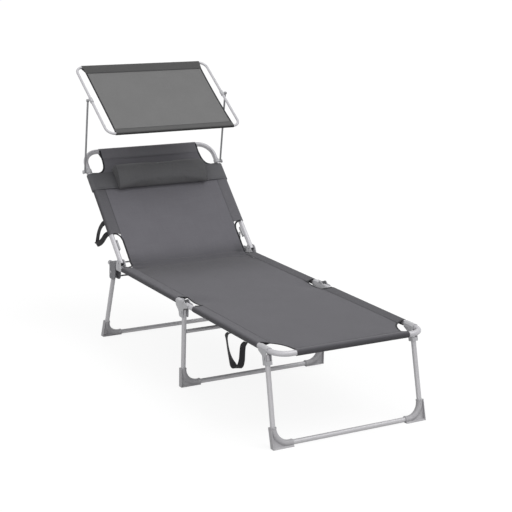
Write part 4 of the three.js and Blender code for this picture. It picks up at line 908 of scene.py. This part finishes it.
SLEEVE_TOP = AXIS_Z + SLEEVE_R
MID_STEPS = np.array([0.004, 0.012, 0.020, 0.027, 0.033, 0.038, 0.0415])
CORNER_STEPS = (0.040, 0.037, 0.033, 0.028, 0.022, 0.015, 0.006)
MID_TAPE, MID_ROWS, FRONT_ROWS, RECLINE_ROWS = (0.6690, 0.8170), (0.684, 0.804), 0.131, 1.346
for side, sign in SIDES:
    chosen = [i for i, row in enumerate(rows) if MID_ROWS[0] <= row[0] <= MID_ROWS[1] and row[2] == 0]
    height = SHEET_Z + 0.0006 + 0.0054 * (1 - MID_STEPS / HEM)
    start = out_at(sign, *zip(MID_STEPS, MID_TAPE[0] + mid_end(MID_STEPS), height))
    end = out_at(sign, *zip(MID_STEPS, MID_TAPE[1] - mid_end(MID_STEPS), height))[::-1]
    path = np.concatenate([start, edge_line(sign, chosen)[1:-1], end])
    tape(f"middle_tape_{side}", path, blend=("foot_section", "root", FOOT_FOLD))

    chosen = [i for i, row in enumerate(rows) if row[0] < FRONT_ROWS]
    start = [(sign * (BAR_HALF - 0.001), BAR_Y + 0.004, SLEEVE_TOP - 0.001)]
    end = out_at(sign, (0.025, 0.1415, SHEET_Z + 0.0015), (0.006, 0.1465, SLEEVE_TOP - 0.001))
    path = np.concatenate([start, edge_line(sign, chosen), end])
    tape(f"front_tape_{side}", path, body="foot_section")

    chosen = [i for i, row in enumerate(rows) if row[0] >= RECLINE_ROWS
        and math.hypot(row[0] - RECLINE[0], row[1] - RECLINE[1]) < BACK_CUT - CUT_CORNER]
    start = out_at(sign, (0.004, 1.3440, SLEEVE_TOP - 0.0005), (0.024, 1.3445, SHEET_Z + 0.002))
    end = out_at(sign, *((i, BACK_CUT - 0.0005 - float(back_end(i)),
        BACK_N + 0.005 * float(smooth((CUT_BACK - i) / 0.03))) for i in CORNER_STEPS))
    path = np.concatenate([start, edge_line(sign, chosen), levelled("back", end)])
    a = np.linspace(0, math.radians(BACK_ANGLE), len(path))
    lean = columns(0, -np.sin(a), np.cos(a))
    tape(f"recline_tape_{side}", path, lean, blend=("root", "backrest", BACK_FOLD))

    path = [(sign * (float(top_half(u)) - 0.0020), u, BACK_N + 0.004 * smooth((u - 0.56) / 0.04))
        for u in np.linspace(0.478, 0.601, 26)]
    start = out_at(sign, (0.006, BACK_SPAN[1] + 0.0005, 0.0125), (0.026, BACK_SPAN[1] + 0.0008, 0.0105))
    tape(f"top_tape_{side}", np.concatenate([start, path]), body="backrest", place="back")


# Canopy: one taut sheet that sags a little, a deep rear hem and a rolled front hem
SHADE_X, SHADE_N, SHADE_SLEEVE = 0.303, 0.0040, 0.0081
SHADE_END, SHADE_ROWS, SHADE_COLUMNS, SHADE_SAG = 0.014, 44, 51, 0.0055
REAR_X, REAR_HEM, FRONT_HEM = 0.309, 0.047, 0.026
SHADE_NARROW, SHADE_CRINKLE, SHADE_FOLD, FOLD_AT, FOLD_WIDE = 0.003, 0.0011, 0.0013, -0.16, 0.06
SHADE_SEAM, SHADE_THREAD_UP, SHADE_TAPE_END, SHADE_TAPE_IN = 0.300, 0.0014, 0.008, 0.0015


def shade_half(v):
    return SHADE_X - SHADE_NARROW * (1 - (v / SHADE_DEPTH) ** 2)


def shade_sag(x, v, share):
    """The sheet's height, where share is how much of the sag it has at x."""
    return -SHADE_SAG * (1 - (v / SHADE_DEPTH) ** 2) * share + crinkle(x, v, 21, SHADE_CRINKLE)


points = []
for v in np.linspace(-SHADE_DEPTH + SHADE_END, SHADE_DEPTH - SHADE_END, SHADE_ROWS):
    x = np.linspace(-1, 1, SHADE_COLUMNS) * float(shade_half(v))
    fold = SHADE_FOLD * np.sin(x * 46 + v * 9) * swell(v, FOLD_AT, FOLD_WIDE)
    n = SHADE_N + shade_sag(x, v, 1 - 0.35 * (x / SHADE_X) ** 2) + fold
    points.append(columns(x, v, n))
canopy_sheet = woven("canopy_cover", points, np.array(points)[:, :, :2], SHADE_CLOTH, ["canopy_fabric"],
    body="canopy", place="shade")


def rear_slant(inward):
    return (REAR_X - SHADE_X) * inward / REAR_HEM


# Painted shade: the rear hem is darkened deeply all over and the front hem too, its roll more on its lower
# side.
rear_shade_hem = hem("canopy_hem_rear", [(x, SHADE_DEPTH, 0) for x in (REAR_X, -REAR_X)], SHADE_SLEEVE,
    REAR_HEM, SHADE_N, SHADE_CLOTH, "canopy", (rear_slant, flipped(rear_slant)), 0.54, 22, 0.15)
front_shade_hem = hem("canopy_hem_front", [(x, -SHADE_DEPTH, 0) for x in (-SHADE_X, SHADE_X)], SHADE_SLEEVE,
    FRONT_HEM, SHADE_N, SHADE_CLOTH, "canopy", (none, none), 0.42, 23, 0.4)
shade_threads = Build()
for v in (SHADE_DEPTH - REAR_HEM + SEAM_IN, -SHADE_DEPTH + FRONT_HEM - SEAM_IN):
    across = np.linspace(-SHADE_SEAM, SHADE_SEAM, 30)
    stitches(shade_threads, [(x, v, SHADE_N + SHADE_THREAD_UP) for x in across])
shade_seams = sewn(shade_threads, "canopy", "shade")
for side, sign in SIDES:
    line = []
    for v in np.linspace(-SHADE_DEPTH + SHADE_TAPE_END, SHADE_DEPTH - SHADE_TAPE_END, 40):
        x = float(shade_half(v))
        n = SHADE_N + float(shade_sag(x * sign, v, 0.65)) - TAPE_LOW
        line.append((sign * (x - SHADE_TAPE_IN), v, n))
    tape(f"canopy_tape_{side}", line, body="canopy", place="shade",
        half=SHADE_TAPE_HALF)

# Headrest: a wide band round the backrest
BAND_AT, BAND_WIDE, BAND_R, BAND_OUT, BAND_ROWS = 0.432, 0.088, 0.0146, 0.0180, 25
BAND_THICK, BAND_DIP, BAND_TUCK, BAND_CRINKLE = 0.0014, 0.0016, 0.0016, 0.0007
BAND_SEAM, BAND_SEAM_IN, BAND_THREAD_UP = 0.334, 0.006, 0.0022


def band_loop(straight=70, turn=14):
    """The band's line once round both side tubes, seen along them."""
    x = np.linspace(-HALF, HALF, straight)
    a = np.linspace(math.pi / 2, -math.pi / 2, turn)[1:-1]
    front = columns(x, BAND_R)
    right = columns(HALF + BAND_OUT * np.cos(a), BAND_R * np.sin(a))
    return np.concatenate([front, right, -front, -right])


loop = band_loop()
length_round = distances(loop)
points, uv = [], []
for t in np.linspace(0, 1, BAND_ROWS):
    u = BAND_AT + (t - 0.5) * BAND_WIDE
    dip = BAND_DIP * np.sin(loop[:, 0] * 9) * math.sin(math.pi * t)
    dip = dip + crinkle(loop[:, 0], t, 31, BAND_CRINKLE)
    tuck = BAND_TUCK * swell(np.abs(loop[:, 0]), 0.235, 0.02) * (loop[:, 1] > 0) * math.cos(math.pi * t)
    points.append(columns(loop[:, 0], u - tuck, loop[:, 1] + dip * np.sign(loop[:, 1])))
    uv.append(columns(length_round, u))
band = woven("headrest_strap", points, uv, BAND_CLOTH, ["headrest_band"], wrap=True, thickness=BAND_THICK,
    body="headrest", place="back")
band_threads = Build()
for u in (BAND_AT - BAND_WIDE / 2 + BAND_SEAM_IN, BAND_AT + BAND_WIDE / 2 - BAND_SEAM_IN):
    across = np.linspace(-BAND_SEAM, BAND_SEAM, 40)
    stitches(band_threads, [(x, u, BAND_R + BAND_THREAD_UP) for x in across])
band_seams = sewn(band_threads, "headrest", "back")

# Pillow: a section with a flat back, fullest above its middle, that is then blown up as cloth
PILLOW_HALF, PILLOW_UP, PILLOW_OUT, PILLOW_BACK, PILLOW_SEAM = 0.240, 0.067, 0.060, 0.0158, 0.226
PILLOW_SHRINK, PILLOW_VOXEL, PILLOW_PRESSURE, PILLOW_GROWTH = 0.005, 0.005, 4.0, 0.008
PILLOW_FRAMES = 20
PILLOW_WAVE, PILLOW_DENT, DENT_WIDE, PIPING_R = 0.0012, 0.0018, 0.0035, 0.0018


def bolster():
    """Points and faces of the pillow before it is blown up, drawn on the backrest."""
    rings, steps, flat = 40, 26, 8
    a = np.linspace(0, math.pi, steps + 1)
    back = [(1 - 2 * k / flat, 0) for k in range(1, flat)]
    section = np.concatenate([columns(0.45 * np.sin(a) ** 2 - np.cos(a), np.sin(a)), back])
    points = []
    for i in range(rings + 1):
        x = (PILLOW_HALF - PILLOW_SHRINK) * math.sin((2 * i / rings - 1) * math.pi / 2)
        full = math.sqrt(max(0, 1 - abs(x / PILLOW_HALF) ** 6))
        u = BAND_AT + section[:, 0] * (PILLOW_UP - PILLOW_SHRINK) * (0.92 + 0.08 * full)
        n = PILLOW_BACK + section[:, 1] * (PILLOW_OUT - PILLOW_SHRINK) * (0.7 + 0.3 * full)
        points.append(columns(x, u, n))
    m = len(section)
    return np.concatenate(points), grid_faces(rings + 1, m, wrap=True) + end_faces(rings + 1, m)


def inflate(obj):
    """Remeshes a closed form and blows it up as cloth, each point by at most PILLOW_GROWTH."""
    bpy.context.view_layer.objects.active = obj
    remesh = obj.modifiers.new("remesh", "REMESH")
    remesh.mode = "VOXEL"
    remesh.voxel_size = PILLOW_VOXEL
    bpy.context.view_layer.update()
    evaluated = obj.evaluated_get(bpy.context.evaluated_depsgraph_get())
    mesh = bpy.data.meshes.new_from_object(evaluated)
    obj.modifiers.clear()
    obj.data = mesh
    before = points_of(mesh)
    modifier = obj.modifiers.new("cloth", "CLOTH")
    for key, value in (("quality", 6), ("mass", 0.2), ("use_pressure", True),
            ("uniform_pressure_force", PILLOW_PRESSURE), ("tension_stiffness", 25),
            ("compression_stiffness", 20), ("shear_stiffness", 10), ("bending_stiffness", 0.6)):
        setattr(modifier.settings, key, value)
    modifier.settings.effector_weights.gravity = 0
    modifier.collision_settings.use_collision = False
    modifier.point_cache.frame_start = 1
    modifier.point_cache.frame_end = PILLOW_FRAMES
    for f in range(1, PILLOW_FRAMES + 1):
        scene.frame_set(f)
    after = points_of(obj.evaluated_get(bpy.context.evaluated_depsgraph_get()).data)
    scene.frame_set(1)
    obj.modifiers.remove(modifier)
    move = after - before
    size = np.linalg.norm(move, axis=1, keepdims=True)
    move_points(mesh, before + move * np.minimum(1, PILLOW_GROWTH / np.maximum(size, 1e-9)))


pillow = make("pillow", *bolster(), PILLOW_CLOTH, place="back")
inflate(pillow)
x, u, n = within("back", points_of(pillow.data)).T
n = np.maximum(n, PILLOW_BACK + 0.0004)
n = n + PILLOW_WAVE * np.sin(x * 34 + u * 60) * smooth((n - 0.03) / 0.03)
n = np.where(n > PILLOW_BACK + 0.004, n - PILLOW_DENT * swell(np.abs(x), PILLOW_SEAM, DENT_WIDE), n)
move_points(pillow.data, placed("back", columns(x, u, n)))
pillow.data.update()
# Painted shade: the pillow's end panels beyond its seams and the part of it that lies close to the backrest
# are darker.
add_painted_shade(pillow.data, 0.30 * smooth((np.abs(x) - PILLOW_SEAM) / 0.003)
    + 0.22 * smooth((PILLOW_BACK + 0.022 - n) / 0.020))
pillow.data.materials.clear()
pillow.data.materials.append(PILLOW_CLOTH)
pillow.data.shade_smooth()
sub = pillow.modifiers.new("smooth", "SUBSURF")
sub.levels = sub.render_levels = 1
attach(pillow, "headrest")
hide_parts("headrest_pillow")

# Piping round the pillow's two ends, laid on its surface
bpy.context.view_layer.update()
tree = BVHTree.FromObject(pillow, bpy.context.evaluated_depsgraph_get())
for side, sign in SIDES:
    inside = Vector(placed("back", [(sign * PILLOW_SEAM, BAND_AT + 0.012, PILLOW_BACK + 0.020)])[0])
    hits = [tree.ray_cast(inside, Vector(direction("back", (0, math.cos(a), math.sin(a)))))[0]
        for a in np.linspace(0, 2 * math.pi, 60)[:-1]]
    path = np.array([hit for hit in hits if hit is not None]) - (0, SHIFT, 0)
    piping = Build().add(*swept(path, circle(PIPING_R, 10), (1, 0, 0), closed=True))
    piping.make(f"pillow_piping_{side}", BAND_CLOTH, body="headrest", slot="headrest_fabric", sharp=80)


# Carry loops of flat webbing
WEB_WIDE, WEB_THICK, WEB_STEPS = 0.025, 0.0016, 110


def spline(points, count):
    """A smooth line through points, by Catmull-Rom."""
    p = np.asarray(points, float)
    p = np.concatenate([[2 * p[0] - p[1]], p, [2 * p[-1] - p[-2]]])
    out = []
    n = len(p) - 3
    for t in np.linspace(0, n, count):
        i = min(int(t), n - 1)
        f = t - i
        a, b, c, d = p[i:i + 4]
        out.append(0.5 * (2 * b + (c - a) * f + (2 * a - 5 * b + 4 * c - d) * f ** 2
            + (3 * b - a - 3 * c + d) * f ** 3))
    return np.array(out)


def strap(name, body, node, place, points, turns):
    """A hanging loop through points; turns gives its width's angle from the tube at shares of the way."""
    path = spline(points, WEB_STEPS)
    t = tangents(path)
    angle = np.radians(np.interp(np.linspace(0, 1, WEB_STEPS), *zip(*turns)))

    def squared(w):
        """Width directions, made square to the path and of length one."""
        return unit(w - t * np.sum(w * t, axis=1, keepdims=True))

    w = squared(columns(-np.cos(angle), np.sin(angle), 0))
    for i in range(1, len(w)):
        w[i] *= 1 if w[i] @ w[i - 1] > 0 else -1
    for _ in range(60):
        w[1:-1] = w[:-2] + 2 * w[1:-1] + w[2:]
        w = squared(w)
    n = np.cross(t, w)
    section = [(-0.5, -0.3), (-0.49, -0.5), (0.49, -0.5), (0.5, -0.3)]
    section += [(-a, -b) for a, b in section]
    rings = [p + a * WEB_WIDE * d + b * WEB_THICK * e for p, d, e in zip(path, w, n) for a, b in section]
    faces = grid_faces(WEB_STEPS, len(section), wrap=True) + end_faces(WEB_STEPS, len(section))
    s = distances(path)
    uv = [(a * WEB_WIDE + (0.1 if b < 0 else 0), x) for x in s for a, b in section]
    obj = make(name, rings, faces, WEBBING, body=body, slot="webbing", uv=uv, sharp=30, place=place)
    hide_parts(node)


strap("foot_carry_strap", "foot_section", "foot_carry_loop", "level", [
    (-0.3448, 0.2345, 0.3550), (-0.3510, 0.2335, 0.3505), (-0.3575, 0.2320, 0.3440),
    (-0.3605, 0.2310, 0.3300), (-0.3605, 0.2325, 0.3115), (-0.3610, 0.2345, 0.2830),
    (-0.3625, 0.2450, 0.2570), (-0.3630, 0.2720, 0.2415), (-0.3625, 0.3010, 0.2480),
    (-0.3605, 0.3240, 0.2655), (-0.3600, 0.3410, 0.2915), (-0.3602, 0.3530, 0.3230),
    (-0.3606, 0.3580, 0.3440), (-0.3550, 0.3620, 0.3525), (-0.3448, 0.3650, 0.3550)],
    [(0, 88), (0.12, 60), (0.33, 58), (0.45, 42), (0.52, 50), (0.6, 90), (0.75, 104), (0.85, 107), (1, 90)])
strap("backrest_carry_strap", "backrest", "backrest_carry_loop", "back", [
    (-0.3448, 0.1620, -0.0117), (-0.3520, 0.1610, -0.0170), (-0.3572, 0.1585, -0.0290),
    (-0.3590, 0.1570, -0.0500), (-0.3600, 0.1600, -0.0780), (-0.3600, 0.1700, -0.1080),
    (-0.3598, 0.1800, -0.1280), (-0.3575, 0.1825, -0.1325), (-0.3552, 0.1850, -0.1280),
    (-0.3548, 0.1960, -0.1120), (-0.3545, 0.2090, -0.0880), (-0.3540, 0.2180, -0.0580),
    (-0.3530, 0.2200, -0.0320), (-0.3500, 0.2210, -0.0190), (-0.3448, 0.2220, -0.0117)],
    [(0, 88), (0.15, 72), (0.35, 74), (0.5, 80), (0.7, 82), (0.85, 95), (1, 90)])


for obj in hems + [front_hem, top_hem, rear_shade_hem, front_shade_hem]:
    stem, side = obj.name.split("_")[0], obj.name.split("_")[-1]

# Camera, as fitted to the photograph
SENSOR = 36             # millimetres; the next two are pixels of the photograph
FOCAL, PHOTO_WIDTH = 1408.536, 512
CAMERA_AT = (-2.944, -4.199 + SHIFT, 2.029)
YAW, PITCH, ROLL = math.radians(30.715), math.radians(14.537), math.radians(1.548)
forward = Vector((math.sin(YAW) * math.cos(PITCH), math.cos(YAW) * math.cos(PITCH), -math.sin(PITCH)))
right = forward.cross(Vector(UP)).normalized()
up = right.cross(forward)
right, up = right * math.cos(ROLL) + up * math.sin(ROLL), up * math.cos(ROLL) - right * math.sin(ROLL)
camera_data = bpy.data.cameras.new("camera")
camera_data.sensor_width = SENSOR
camera_data.lens = SENSOR * FOCAL / PHOTO_WIDTH
camera_data.clip_end = 100
camera = link("camera", camera_data)
camera.matrix_world = Matrix.Translation(CAMERA_AT) @ Matrix((right, up, -forward)).transposed().to_4x4()
scene.camera = camera


# Floor and background: white to the camera and to reflections, a darker ground for the light that bounces
def seen(t):
    ray = t.add("ShaderNodeLightPath").outputs
    direct = t.math("MAXIMUM", ray["Is Camera Ray"], ray["Is Glossy Ray"])
    return t.math("MAXIMUM", direct, ray["Is Transmission Ray"])


def grey(value):
    return (value, value, value, 1)


DULL, BRIGHT, GLOW, WORLD_LIGHT, FLOOR_HALF, FLOOR_DROP = 0.36, 0.15, 0.88, 0.66, 30, 0.0004
t = Tree(bpy.data.materials.new("floor"))
t.tree.nodes.remove(t.own("BSDF_PRINCIPLED"))
dull = t.add("ShaderNodeBsdfDiffuse", Color=grey(DULL)).outputs[0]
bright = t.add("ShaderNodeAddShader", i0=t.add("ShaderNodeBsdfDiffuse", Color=grey(BRIGHT)).outputs[0],
    i1=t.add("ShaderNodeEmission", Color=grey(1), Strength=GLOW).outputs[0]).outputs[0]
mixed = t.add("ShaderNodeMixShader", i0=seen(t), i1=dull, i2=bright).outputs[0]
t.put(t.own("OUTPUT_MATERIAL"), "Surface", mixed)
floor_mesh = bpy.data.meshes.new("floor")
corners = [(x * FLOOR_HALF, y * FLOOR_HALF, 0) for x, y in ((-1, -1), (1, -1), (1, 1), (-1, 1))]
floor_mesh.from_pydata(corners, [], [(0, 1, 2, 3)])
floor_mesh.materials.append(t.owner)
floor = link("floor", floor_mesh)
floor.location.z = -FLOOR_DROP

world = bpy.data.worlds.new("world")
scene.world = world
w = Tree(world)
w.put(w.own("BACKGROUND"), "Color", grey(1))
w.put(w.own("BACKGROUND"), "Strength", w.math("MULTIPLY_ADD", seen(w), 1.0 - WORLD_LIGHT, WORLD_LIGHT))


def lamp(name, toward, energy, spread):
    data = bpy.data.lights.new(name, "SUN")
    data.energy = energy
    data.angle = math.radians(spread)
    link(name, data).rotation_euler = Vector(toward).to_track_quat("Z", "Y").to_euler()


lamp("key", (0.34, -0.36, 0.87), 1.0, 40)
lamp("fill", (-0.62, -0.75, 0.22), 0.7, 60)
scene.view_settings.view_transform = "Standard"
